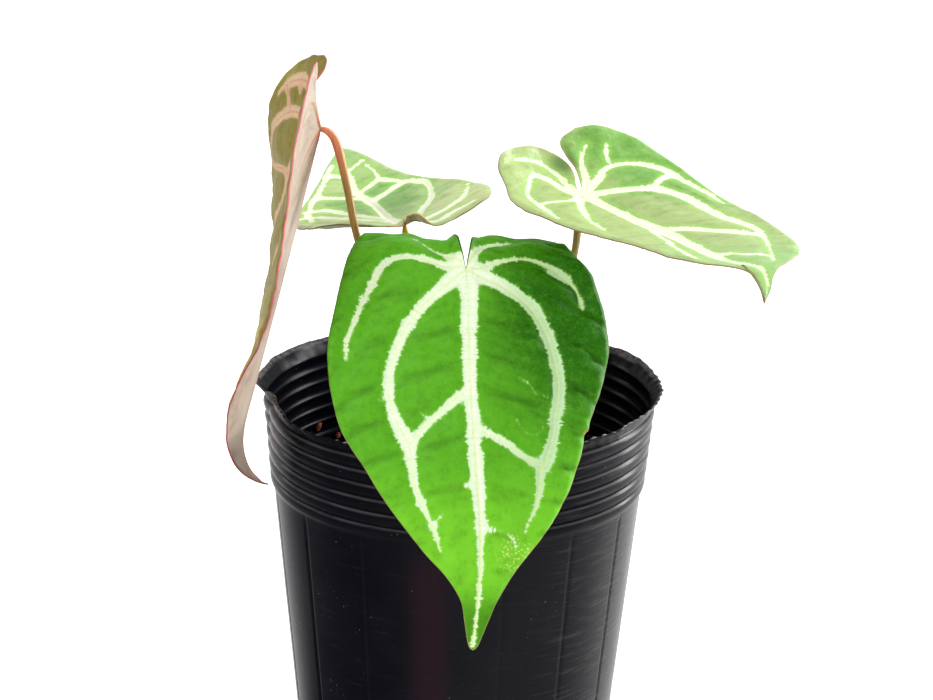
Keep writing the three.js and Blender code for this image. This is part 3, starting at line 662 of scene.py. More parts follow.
def flat_grid(blade, s, t):
    """Flat places of a blade's grid: s runs from margin to margin and t from the lobes to the tip."""
    rows = t * (OUTLINE_STEPS - 1)
    reach = np.abs(s)
    share = FIRST_ANCHOR * t + (1 - FIRST_ANCHOR) * t**2.2
    tip = np.array(blade["plus"][-1], float)
    anchor = np.stack([tip[0] * share**3, tip[1] * share], 1)
    pull = ((1 - t) ** 7)[:, None]
    marks = np.arange(OUTLINE_STEPS)
    flat = np.zeros((len(s), 2))
    for half in ("plus", "minus"):
        outline = np.array(blade[half], float)
        lowest = int(np.argmin(outline[:, 1]))
        outer = smooth_line(outline[lowest:], OUTLINE_STEPS)
        inner = smooth_line(outline[:lowest + 1], OUTLINE_STEPS)
        out = np.stack([np.interp(rows, marks, outer[:, c]) for c in range(2)], 1)
        into = np.stack([np.interp(reach * (OUTLINE_STEPS - 1), marks, inner[:, c]) for c in range(2)], 1)
        laid = anchor + (out - anchor) * reach[:, None] + pull * (into - outline[lowest] * reach[:, None])
        ours = s >= 0 if half == "plus" else s < 0
        flat[ours] = laid[ours]
    return flat[:, 0], flat[:, 1]


def blade_relief(name, x, y, nerve, edge):
    """Height of a blade's face above its plain shape, and its swells as a number for the finish."""
    depth, wave, frill, puff = RELIEF[name]
    clear = rise(nerve, 0.5, 5)
    quilt = quilting(x, y, len(name))
    strength = 0.5 + 0.9 * np.abs(x) / 35
    frills = ripples(x, y, len(name) * 11 + 3, frill)
    height = depth * (1 - np.exp(-np.maximum(nerve, 0) / 3.2)) + puff * (quilt * clear) * strength
    height += ripples(x, y, len(name) * 7, wave) * clear
    height += frills * (1 - rise(edge, 0, 9)) * rise(edge + np.abs(y), 1, 9)
    height *= rise(edge, 0, 1.5) * 0.6 + 0.4
    height -= 0.25 * (1 - rise(nerve, 0, 0.7))
    return height, 1 - (1 - quilt) * clear


def upper_face(blade, x, y):
    """The direction in which the upper face of a blade looks at flat points."""
    across = lay(blade, x + FACE_STEP, y) - lay(blade, x - FACE_STEP, y)
    along = lay(blade, x, y + FACE_STEP) - lay(blade, x, y - FACE_STEP)
    normal = np.cross(along, across)
    return normal / np.linalg.norm(normal, axis=1)[:, None]


def make_blade(name, material):
    """A leaf blade: a fine sheet with sunk veins and soft swells, thickened and marked for its finish."""
    blade = BLADES[name]
    deselect()
    bpy.ops.mesh.primitive_grid_add(x_subdivisions=2 * COLUMNS, y_subdivisions=ROWS, size=2)
    leaf = named(name + "_leaf")
    grid = places(leaf) * MM
    x, y = flat_grid(blade, grid[:, 0], (grid[:, 1] + 1) / 2)
    band, nerve, run = vein_field(VEINS[name], x, y)
    edge = margin_distance(blade, x, y)
    height, swell = blade_relief(name, x, y, nerve, edge)
    normal = upper_face(blade, x, y)
    move_to(leaf, lay(blade, x, y) + normal * height[:, None])
    marks = dict(band=band, nerve=nerve, run=run, edge=edge, flat_x=x, flat_y=y, swell=swell)
    for label, values in marks.items():
        mark(leaf, label, values)
    weld(leaf, 0.01)
    # the sheet has to face up before it gets its thickness
    middle = leaf.data.polygons[len(leaf.data.polygons) // 2]
    if middle.normal.dot(Vector(normal[len(normal) // 2])) < 0:
        turn_over(leaf)
    count = len(leaf.data.vertices)
    thicken(leaf, BLADE_THICKNESS, -1)
    under = np.zeros(len(leaf.data.vertices))
    under[count:] = 1
    mark(leaf, "under", under)
    return settle(leaf, material, ["blade_" + name])


# Shared effects of the finishes

def build_vein_bands():
    """Masks of the feathered silver bands, their light fringe and the fine nerve in their middle."""
    tree, given, result = new_group(
        "vein_bands",
        {"Band": 0.0, "Nerve": 0.0, "Run": 0.0, "Place": None, "Ragged": 0.5, "Fringe Width": 0.7},
        ("Mask", "Fringe", "Nerve Line", "Dust"),
    )
    g = given.outputs
    beside = put(tree, "CombineXYZ", {"X": g["Run"], "Y": times(tree, g["Band"], 0.22)}).outputs[0]
    leaned = stretched(tree, beside, (0.8, 0.5, 1), (0, 0, 0.2))
    strokes = grain(tree, beside, 1.15, 5.0, 0.75)
    spikes = grain(tree, leaned, 1.0, 3.0, 0.65)
    crumbs = grain(tree, g["Place"], 1700.0, 2.0, 0.6)
    lumps = grain(tree, g["Place"], 210.0, 2.0, 0.5)
    wander = plus(tree, swing(tree, strokes, 4.2), swing(tree, crumbs, 1.5))
    wander = plus(tree, wander, swing(tree, lumps, 3.4))
    wander = plus(tree, wander, ramp(tree, spikes, 0.52, 0.72, 0.0, -1.5))
    moved = plus(tree, g["Band"], times(tree, wander, g["Ragged"]))
    fill(tree, result, {
        "Mask": ramp(tree, moved, -0.08, 0.2, 1.0, 0.0),
        "Fringe": ramp(tree, moved, 0.0, g["Fringe Width"], 1.0, 0.0),
        "Nerve Line": ramp(tree, g["Nerve"], 0.1, 0.55, 1.0, 0.0),
        "Dust": plus(tree, times(tree, strokes, 0.6), times(tree, crumbs, 0.4)),
    })
    return tree


def build_leaf_cells():
    """Uneven green: slow clouds, cross strokes between the veins, patches, mottling and fine cells."""
    tree, given, result = new_group(
        "leaf_cells",
        {"Flat X": 0.0, "Flat Y": 0.0, "Place": None},
        ("Clouds", "Strokes", "Cells", "Mottle", "Patches"),
    )
    g = given.outputs
    lean = times(tree, calc(tree, "ABSOLUTE", g["Flat X"]), -0.32)
    along = times(tree, plus(tree, g["Flat Y"], lean), 0.26)
    turned = put(tree, "CombineXYZ", {"X": times(tree, g["Flat X"], 0.045), "Y": along}).outputs[0]
    fill(tree, result, {
        "Clouds": grain(tree, g["Place"], 42.0, 3.0, 0.6),
        "Strokes": grain(tree, turned, 1.0, 3.0, 0.6),
        "Cells": grain(tree, g["Place"], 1500.0, 2.0, 0.6),
        "Mottle": grain(tree, g["Place"], 430.0, 4.0, 0.65),
        "Patches": grain(tree, g["Place"], 125.0, 3.0, 0.6),
    })
    return tree


vein_bands = build_vein_bands()
leaf_cells = build_leaf_cells()


LEAF_MARKS = ("band", "nerve", "run", "edge", "flat_x", "flat_y", "swell", "under")
BLACK = (0, 0, 0, 1)
UNDER_SHADOW = (0.62, 0.62, 0.58, 1)
LEAF_SHADE = seen(74, 106, 50)
FLECKS = seen(220, 214, 132)
SCAR = seen(176, 122, 64)


def closeness(tree, marks, spot_x, spot_y, inside, outside, amount):
    """How near the flat point is to a spot: amount within one distance, 0 beyond the other."""
    gap = long_side(tree, less(tree, marks["flat_x"], spot_x), less(tree, marks["flat_y"], spot_y))
    return ramp(tree, gap, inside, outside, amount, 0.0)


def lamina_colour(tree, marks, cells, veins, tones):
    """The leaf between its veins: a broad darker area, painted shade in the creases between its swells,
    mottling and a bright tip.
    """
    flat_x, flat_y = marks["flat_x"], marks["flat_y"]
    dark_x, dark_y, dark_width, dark_height = tones["dark_area"]
    uneven = plus(tree, swing(tree, cells["Clouds"], 0.5), swing(tree, cells["Strokes"], 0.6))
    uneven = plus(tree, uneven, swing(tree, cells["Patches"], tones["patchy"]))
    off_dark = long_side(
        tree,
        calc(tree, "DIVIDE", less(tree, flat_x, dark_x), dark_width),
        calc(tree, "DIVIDE", less(tree, flat_y, dark_y), dark_height),
    )
    lit = ramp(tree, plus(tree, off_dark, uneven), 0.35, 1.25)
    towards_tip = plus(tree, flat_y, times(tree, uneven, 20.0))
    lamina = mix(tree, lit, tones["dark"], tones["light"])
    lamina = mix(tree, ramp(tree, towards_tip, 48.0, 80.0, 0.0, 0.85), lamina, tones["tip"])
    # painted shade: the creases between the swells are painted darker; the same darker colour also darkens
    # the mottling
    crease_shade_and_mottle = mix(tree, 0.62, lamina, BLACK)
    swell = plus(tree, marks["swell"], times(tree, uneven, 0.2))
    return coats(tree, lamina, (
        (ramp(tree, swell, 0.0, 0.85, tones["crease_shade"], 0.0), crease_shade_and_mottle),
        (ramp(tree, cells["Mottle"], 0.3, 0.52, 0.3, 0.0), crease_shade_and_mottle),
        (ramp(tree, cells["Mottle"], 0.5, 0.75, 0.0, 0.2), tones["cell"]),
        (ramp(tree, cells["Cells"], 0.4, 0.75, 0.0, 0.14), tones["cell"]),
        (ramp(tree, flat_y, 85.0, 99.0, 0.0, tones["tip_shade"]), tones["dark"]),
        (times(tree, veins["Fringe"], tones["fringe_share"]), tones["fringe"]),
    ))


def vein_colour(tree, marks, veins, tones):
    """The silver bands, with dust towards their edges and the nerve in their middle."""
    vein = mix(tree, ramp(tree, marks["flat_x"], 5.0, 19.0), tones["vein"], tones["vein_far"])
    return coats(tree, vein, (
        (ramp(tree, veins["Dust"], 0.38, 0.66, 0.0, 0.8), tones["dust"]),
        (ramp(tree, marks["band"], -1.1, 0.0, 0.0, 0.5), tones["dust"]),
        (times(tree, veins["Nerve Line"], 0.6), tones["nerve"]),
    ))


def under_colour(tree, marks, cells, tones):
    """The paler underside, with its veins, the ribs that meet at the stalk and a shade beside it."""
    clouds = plus(tree, cells["Clouds"], times(tree, marks["swell"], 0.15))
    vein = times(tree, ramp(tree, marks["band"], -0.8, 0.6, 1.0, 0.0), 0.75)
    from_stalk = long_side(tree, marks["flat_x"], marks["flat_y"])
    rib = times(
        tree,
        ramp(tree, marks["nerve"], 0.25, 1.1, 1.0, 0.0),
        ramp(tree, from_stalk, 3.0, 17.0, 0.9, 0.25),
    )
    below = mix(tree, ramp(tree, clouds, 0.35, 0.75), tones["under_dark"], tones["under"])
    below = coats(tree, below, ((vein, tones["under_vein"]), (rib, tones["rib"])))
    shade = ramp(tree, marks["flat_y"], 10.0, 50.0, tones["under_shade"], 0.0)
    return mix(tree, shade, below, UNDER_SHADOW, "MULTIPLY")


def margin_colour(tree, marks, tones):
    """The thin margin: one tone along the lobes, one at the tip and one in the sinus."""
    flat_y = marks["flat_y"]
    sinus = times(
        tree,
        ramp(tree, calc(tree, "ABSOLUTE", marks["flat_x"]), 6.0, 12.0, 1.0, 0.0),
        ramp(tree, flat_y, -2.0, 3.0, 1.0, 0.0),
    )
    margin = mix(tree, ramp(tree, flat_y, 20.0, 60.0), tones["margin"], tones["margin_tip"])
    return mix(tree, sinus, margin, tones["margin_sinus"])


def leaf_finish(name, tones, ragged, fringe_width, gloss, specular):
    """A leaf's finish: lamina, silver bands, nerve, margin and a paler underside."""
    made, tree, surface = new_finish(name, IOR=1.45, Specular_IOR_Level=specular)
    place = object_place(tree)
    marks = {label: carried(tree, label) for label in LEAF_MARKS}
    veins = place_group(tree, vein_bands, {
        "Band": marks["band"], "Nerve": marks["nerve"], "Run": marks["run"],
        "Place": place, "Ragged": ragged, "Fringe Width": fringe_width,
    })
    cells = place_group(tree, leaf_cells, {
        "Flat X": marks["flat_x"], "Flat Y": marks["flat_y"], "Place": place,
    })
    lamina = lamina_colour(tree, marks, cells, veins, tones)
    top = mix(tree, veins["Mask"], lamina, vein_colour(tree, marks, veins, tones))
    shaded = closeness(tree, marks, *tones["shade_spot"], 0.72)
    flecked = closeness(tree, marks, *tones["fleck_spot"], 0.9)
    flecked = times(tree, flecked, ramp(tree, cells["Cells"], 0.58, 0.64))
    top = coats(tree, top, ((shaded, LEAF_SHADE), (flecked, FLECKS)))
    colour = mix(tree, marks["under"], top, under_colour(tree, marks, cells, tones))
    rim = ramp(tree, marks["edge"], 0.03, 0.25, 1.0, 0.0)
    scarred = closeness(tree, marks, *tones["scar"], 0.4, 1.1, 0.9)
    colour = coats(tree, colour, ((rim, margin_colour(tree, marks, tones)), (scarred, SCAR)))
    rough = plus(tree, gloss, times(tree, veins["Mask"], 0.12))
    rough = plus(tree, rough, times(tree, cells["Cells"], 0.08))
    fill(tree, surface, {"Base Color": colour, "Roughness": rough})
    relief = plus(tree, times(tree, cells["Cells"], 0.5), times(tree, cells["Strokes"], 1.6))
    relief = plus(tree, relief, times(tree, cells["Mottle"], 0.9))
    bump(tree, surface, relief, 0.45, 0.45)
    return made


# a spot or a scar placed out here misses the blade
NO_SPOT = (200, 0, 1, 2)
NO_SCAR = (200, 0)

GREEN = dict(
    light=seen(88, 168, 28), dark=seen(34, 100, 0), tip=seen(122, 206, 40), cell=seen(116, 196, 48),
    crease_shade=0.6, patchy=0.25, dark_area=(30, 12, 30, 38), tip_shade=0.7,
    shade_spot=NO_SPOT, fleck_spot=(11.5, 80, 2.5, 7), scar=(32.4, 46.6),
    fringe=seen(150, 214, 84), fringe_share=0.5,
    vein=seen(248, 255, 232), vein_far=seen(178, 212, 162),
    dust=seen(202, 234, 182), nerve=seen(222, 238, 150),
    under=seen(150, 178, 110), under_dark=seen(120, 150, 84), under_vein=seen(206, 216, 170),
    rib=seen(160, 150, 80), under_shade=0.0,
    margin=seen(104, 112, 52), margin_tip=seen(160, 150, 80), margin_sinus=seen(52, 96, 26),
)
# the right and back leaves are paler than the front one; part of that paleness is painted glare of the white
# light that they catch at a grazing angle
PALE_GREEN_WITH_PAINTED_GLARE = dict(
    GREEN,
    light=seen(168, 192, 116), dark=seen(114, 174, 68), tip=seen(150, 198, 114), cell=seen(196, 204, 150),
    crease_shade=0.34, patchy=1.8, tip_shade=0.0, fleck_spot=NO_SPOT, scar=NO_SCAR,
    fringe=seen(150, 214, 84), fringe_share=0.62,
    vein=seen(255, 255, 236), vein_far=seen(255, 255, 236),
    dust=seen(236, 252, 206), nerve=seen(248, 250, 200),
    under=seen(150, 156, 92), under_dark=seen(112, 122, 62),
    margin=seen(130, 116, 84), margin_tip=seen(150, 110, 84), margin_sinus=seen(206, 140, 76),
)
RIGHT_GREEN = dict(PALE_GREEN_WITH_PAINTED_GLARE, dark_area=(27, -6, 22, 40), shade_spot=(5.2, -15.2, 1.8, 5.8))
BACK_GREEN = dict(
    PALE_GREEN_WITH_PAINTED_GLARE, light=seen(190, 208, 136), dark=seen(126, 182, 84), dark_area=(-4, 38, 20, 24),
)
BRONZE = dict(
    GREEN,
    light=seen(118, 106, 28), dark=seen(140, 138, 48), tip=seen(172, 160, 52), cell=seen(152, 136, 54),
    crease_shade=0.5, patchy=0.8, dark_area=(-36, -14, 14, 12), tip_shade=0.0, fleck_spot=NO_SPOT, scar=NO_SCAR,
    fringe=seen(160, 146, 78), fringe_share=0.6,
    vein=seen(200, 174, 142), vein_far=seen(200, 174, 142),
    dust=seen(180, 144, 112), nerve=seen(188, 108, 88),
    under=seen(224, 206, 190), under_dark=seen(184, 152, 132), under_vein=seen(228, 210, 198),
    rib=seen(214, 126, 88), under_shade=1.0,
    margin=seen(222, 124, 134), margin_tip=seen(166, 74, 80), margin_sinus=seen(230, 124, 110),
)

# how ragged the bands are, the width of their fringe, roughness and specular level
green_leaf = leaf_finish("green_leaf", GREEN, 0.5, 0.7, 0.42, 0.1)
right_leaf = leaf_finish("right_green_leaf", RIGHT_GREEN, 0.45, 2.1, 0.38, 0.35)
back_leaf = leaf_finish("back_green_leaf", BACK_GREEN, 0.45, 2.3, 0.38, 0.35)
bronze_leaf = leaf_finish("bronze_leaf", BRONZE, 0.35, 0.6, 0.42, 0.06)
make_blade("front", green_leaf)
make_blade("right", right_leaf)
make_blade("back", back_leaf)
make_blade("left", bronze_leaf)


# Leaf stalks

STALK_RADIUS = 1.1
STALKS = {
    "front": ((0, -3.2, 94.6), (0, -3.9, 99), (0.3, -8, 114), (0.7, -15.5, 137), (1, -25.5, 157),
              (1.1, -32, 167), (1.2, -36, 170.8), (1.2, -39, 172.9)),
    "right": ((3.2, 0, 94.6), (4.1, 0, 99), (10.5, -1.5, 113), (21, -4, 134), (29.6, -6.3, 156),
              (32.3, -7.3, 169), (33.2, -8.1, 178), (33.8, -8.8, 185.8)),
    "back": ((0, 3.2, 94.6), (0, 3.9, 99), (-2.4, 5.4, 114), (-8.2, 6.2, 137), (-13.6, 6.8, 157),
             (-16, 6.7, 166), (-17.1, 6.5, 172.8)),
    "left": ((-3.2, 0, 94.6), (-4.2, -0.1, 99), (-9.4, -4.4, 116), (-19.6, -14, 147), (-29.1, -20.9, 174.7),
             (-32.5, -20.9, 190.4), (-34.9, -21, 201), (-36.2, -21.6, 205.1), (-37.6, -22, 206.9),
             (-39, -22.5, 207.8), (-41, -23, 208.4)),
}


def make_stalk(name, points, radius, material, nodes, steps=90, taper=None):
    """A round stalk or root along a smooth line; taper gives its radius for a share of its length."""
    line = smooth_line(points, steps)
    deselect()
    bpy.ops.curve.primitive_nurbs_path_add()
    stalk = bpy.context.object
    stalk.data.splines.clear()
    spline = stalk.data.splines.new("POLY")
    spline.points.add(len(line) - 1)
    for i, point in enumerate(line):
        spline.points[i].co = (*(point * MM), 1)
        spline.points[i].radius = taper(i / (len(line) - 1)) if taper else 1
    stalk.data.dimensions = "3D"
    stalk.data.bevel_depth = radius * MM
    stalk.data.bevel_resolution = 6
    stalk.data.use_fill_caps = True
    make_one(stalk)
    bpy.ops.object.convert(target="MESH")
    stalk = named(name)
    weld(stalk, 0.005)
    return settle(stalk, material, nodes)


def stalk_finish(name, lower, upper, low, high):
    """Skin that turns from one tone to another with height, with fine length-wise streaks."""
    made, tree, surface = new_finish(name, Roughness=0.42)
    place = object_place(tree)
    height = put(tree, "SeparateXYZ", {0: place}).outputs["Z"]
    clouds = grain(tree, place, 90.0, 3.0)
    share = ramp(tree, plus(tree, height, swing(tree, clouds, 0.012)), low * MM, high * MM)
    streaks = grain(tree, stretched(tree, place, (1, 1, 0.06)), 1500.0, 3.0)
    colour = mix(tree, share, lower, upper)
    colour = mix(tree, ramp(tree, streaks, 0.35, 0.7, 0.0, 0.35), colour, seen(96, 74, 30))
    tree.links.new(colour, surface.inputs["Base Color"])
    bump(tree, surface, streaks, 0.25, 0.15)
    return made


brown_stalk = stalk_finish("brown_stalk", seen(124, 120, 46), seen(158, 132, 54), 110, 172)
yellow_stalk = stalk_finish("yellow_topped_stalk", seen(128, 118, 46), seen(236, 196, 22), 160, 168)
coral_stalk = stalk_finish("coral_stalk", seen(172, 126, 38), seen(242, 134, 88), 190, 208)


def stalk_taper(share):
    """A swollen foot, a slight swelling below the blade and a drawn-in end."""
    swelling = 0.5 * math.exp(-((share / 0.07) ** 2)) + 0.16 * math.exp(-(((share - 0.93) / 0.05) ** 2))
    return 1 + swelling - 0.55 * max(0, (share - 0.95) / 0.05) ** 2


for name, points in STALKS.items():
    skin = {"left": coral_stalk, "back": yellow_stalk}.get(name, brown_stalk)
    nodes = ["petiole_" + name]
    make_stalk(name + "_stalk", points, STALK_RADIUS, skin, nodes, taper=stalk_taper)


# Pot: wall with a ribbed band and a flared, wavy lip, and a floor with drain holes

POT_HEIGHT = 125
BAND_FOOT = 97
BAND_FOOT_RADIUS = 54.8
BAND_TOP_RADIUS = 57.2
BASE_RADIUS = 45.7
BEADS = 6
BEAD_PITCH = 4.1
BEAD_RISE = 0.85
BAND_TOP = BAND_FOOT + BEADS * BEAD_PITCH
LIP_RADIUS = 60
WALL = 0.6
POT_STEPS = 640
# how far the thin lip leaves its circle: bearing, outward, upward
LIP_LINE = (
    (-180, 0.6, 0.2), (-176, -1.4, 0), (-171, -4.6, -0.2), (-161, -4.4, -0.3), (-152, -3, -0.3),
    (-142, -1.8, -0.4), (-132, -1.8, -0.4), (-122, -2.6, -0.3), (-100, -2.6, -0.2), (-75, -2.8, -0.2),
    (-60, -3.6, -0.2), (-45, -3.6, -0.2), (-36, -3.4, -0.2), (-24, -2.8, 0), (-12, -1.2, 0.1), (-2, 0, 0.2),
    (7, 0.5, 0.4), (18, 1, 0.8), (27, 1.6, 1.1), (36, 1.8, 1.3), (45, 1.4, 1), (70, 1, 0.6),
    (100, 0.6, 0.5), (130, 0.8, 0.9), (145, 1.3, 1), (160, 1.2, 0.9), (170, 0.8, 0.5),
)
CREASES = 16
CREASE_START = -75
CREASE_DEPTH = 0.4
FLOOR_RECESS = 1.2
FLOOR_THICKNESS = 1.2
FOOT_RING = 6
HUB_RADIUS = 20
DRAIN_HOLES = 8
DRAIN_RADIUS = 3.2
DRAIN_CIRCLE = 30


def wall_radius(z):
    """Outer radius of the pot at a height, with its beads and lip."""
    z = np.asarray(z, float)
    plain = BASE_RADIUS + (BAND_FOOT_RADIUS - BASE_RADIUS) * z / BAND_FOOT
    in_band = (z - BAND_FOOT) / (BEADS * BEAD_PITCH)
    band = BAND_FOOT_RADIUS + (BAND_TOP_RADIUS - BAND_FOOT_RADIUS) * np.clip(in_band, 0, 1)
    beads = BEAD_RISE * np.abs(np.sin(np.pi * (z - BAND_FOOT) / BEAD_PITCH)) ** 0.55
    lip_share = np.clip((z - BAND_TOP) / (POT_HEIGHT - BAND_TOP), 0, 1)
    lip = (LIP_RADIUS - BAND_TOP_RADIUS) * lip_share**1.3
    return np.where(z <= BAND_FOOT, plain, np.where(in_band <= 1, band + beads, BAND_TOP_RADIUS + lip))


def wall_profile():
    """The wall's outer line from the foot up, and its inner line back down."""
    heights = np.concatenate([
        [0, 0.4, 1.2, 3], np.linspace(8, 94, 12), [96, 97],
        BAND_FOOT + BEAD_PITCH * np.arange(1, BEADS * 8 + 1) / 8,
        np.linspace(BAND_TOP, POT_HEIGHT, 8)[1:],
    ])
    radii = wall_radius(heights)
    radii[:3] -= (1.4, 0.7, 0.2)
    outer = np.stack([radii, heights], 1)
    inner = np.stack([radii - WALL, heights], 1)[::-1]
    inner[-1, 0] -= 3
    return np.concatenate([outer, inner])


def shape_wall(pot):
    """Presses the creases, bends the lip, and marks its worn edge and the inner side for the finish."""
    points = places(pot)
    angle = np.arctan2(points[:, 1], points[:, 0])
    turn = np.degrees(angle)
    radius = np.hypot(points[:, 0], points[:, 1])
    z = points[:, 2].copy()
    # pressed creases down the plain wall, and a slow wave of the thin plastic
    pitch = 2 * math.pi / CREASES
    off = (angle - math.radians(CREASE_START) + pitch / 2) % pitch - pitch / 2
    pressed = np.exp(-((off * radius / 0.45) ** 2)) * rise(z, 3, 7) * (1 - rise(z, 94.5, 96.5))
    slow = 0.25 * np.sin(2 * angle + 0.6) * rise(z, 20, 90)
    # the thin lip: its uneven line, and small folds that are deepest at the right
    lip = rise(z, BAND_TOP - 1, POT_HEIGHT)
    bearing, outward, upward = np.array(LIP_LINE).T
    push = np.interp(turn, bearing, outward, period=360)
    lift = np.interp(turn, bearing, upward, period=360)
    at_right = np.exp(-(((turn - 8) / 22) ** 2))
    at_front = np.exp(-(((turn + 92) / 75) ** 4))
    folding = 0.035 + 0.2 * at_right + 0.1 * at_front
    folds = folding * np.sin(83 * angle + 2.2 * np.sin(7 * angle)) * lip
    waves = 0.14 * np.sin(17 * angle) + 0.1 * np.sin(41 * angle + 1) + 0.1 * np.sin(29 * angle + 2)
    pinch = 0.35 * push * rise(z, 100, BAND_TOP)
    bent = radius - CREASE_DEPTH * pressed + slow + pinch * (1 - lip) + lip * (waves + push) + folds
    torn = (0.03 + 0.2 * at_front) * np.sin(97 * angle + 2 * np.sin(11 * angle))
    ragged = 0.12 * np.sin(23 * angle + 1) + torn
    points[:, 0] = bent * np.cos(angle)
    points[:, 1] = bent * np.sin(angle)
    points[:, 2] = z + lip * lift + rise(z, POT_HEIGHT - 2, POT_HEIGHT) * ragged
    raised = points[:, 2]
    mark(pot, "worn", rise(raised, POT_HEIGHT - 0.12, POT_HEIGHT - 0.01) * (0.35 + 0.65 * at_front))
    mark(pot, "inside", radius < wall_radius(raised) - WALL / 2)
    move_to(pot, points)


def make_pot_wall(material):
    pot = spin_profile("pot_wall", wall_profile(), POT_STEPS)
    shape_wall(pot)
    return settle(pot, material, ["nursery_pot"])


def floor_profile():
    """Half of the floor's outline: a centre pad, a shallow recess and the foot ring."""
    rim = BASE_RADIUS - 1.5
    ring = rim - FOOT_RING
    low = [(0, 0), (HUB_RADIUS - 0.4, 0), (HUB_RADIUS + 0.3, 0.3), (HUB_RADIUS + FLOOR_RECESS, FLOOR_RECESS),
           (ring - FLOOR_RECESS, FLOOR_RECESS), (ring - 0.2, 0.2), (ring + 0.5, 0), (rim - 0.3, 0),
           (rim + 0.4, 0.35)]
    high = [(r, z + FLOOR_THICKNESS) for r, z in reversed(low[:-1])]
    return low + [(rim + 0.4, 1.4)] + high


def make_pot_floor(material):
    """The floor, with drain holes cut through."""
    floor = spin_profile("pot_floor", floor_profile(), 128)
    drills = []
    for i in range(DRAIN_HOLES):
        turn = i / DRAIN_HOLES * 2 * math.pi
        reach = DRAIN_CIRCLE * MM
        deselect()
        bpy.ops.mesh.primitive_cylinder_add(
            vertices=32, radius=DRAIN_RADIUS * MM, depth=10 * MM,
            location=(reach * math.cos(turn), reach * math.sin(turn), 1.5 * MM))
        drills.append(bpy.context.object)
    make_one(drills[0])
    for drill in drills:
        drill.select_set(True)
    bpy.ops.object.join()
    bpy.ops.object.transform_apply(location=True, rotation=True, scale=True)
    cutter = bpy.context.object
    cut = floor.modifiers.new("drain holes", "BOOLEAN")
    cut.object = cutter
    cut.operation = "DIFFERENCE"
    apply_all(floor)
    bpy.data.objects.remove(cutter)
    make_one(floor)
    bpy.ops.object.shade_smooth_by_angle(angle=math.radians(35))
    settle(floor, material, [], smooth=False)
    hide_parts("nursery_pot")
    return floor


# bearings round the pot in radians: -1.57 is the front and 0 the right
REFLECTION_BEARING = -1.71
BRUISE_BEARING = -2.9


def beside(tree, turn, bearing, full, none, amount):
    """A share that is full at one bearing round the pot and falls away on both sides of it."""
    return ramp(tree, calc(tree, "ABSOLUTE", less(tree, turn, bearing)), full, none, amount, 0.0)


def coat_share(tree, turn, inside, in_band, groove):
    """How much the plastic shines: least on the front left, inside and in the grooves."""
    coat = plus(tree, ramp(tree, turn, -2.25, -1.2, 0.01, 0.15), ramp(tree, turn, -2.9, -2.5, 0.2, 0.0))
    coat = plus(tree, coat, ramp(tree, turn, -0.95, -0.5, 0.0, 0.17))
    coat = times(tree, coat, ramp(tree, inside, 0.0, 1.0, 1.0, 0.25))
    coat = times(tree, coat, less(tree, 1.0, times(tree, groove, 0.9)))
    dull = times(tree, in_band, ramp(tree, turn, -1.6, -1.0, 0.0, 0.45))
    return times(tree, coat, less(tree, 1.0, dull))


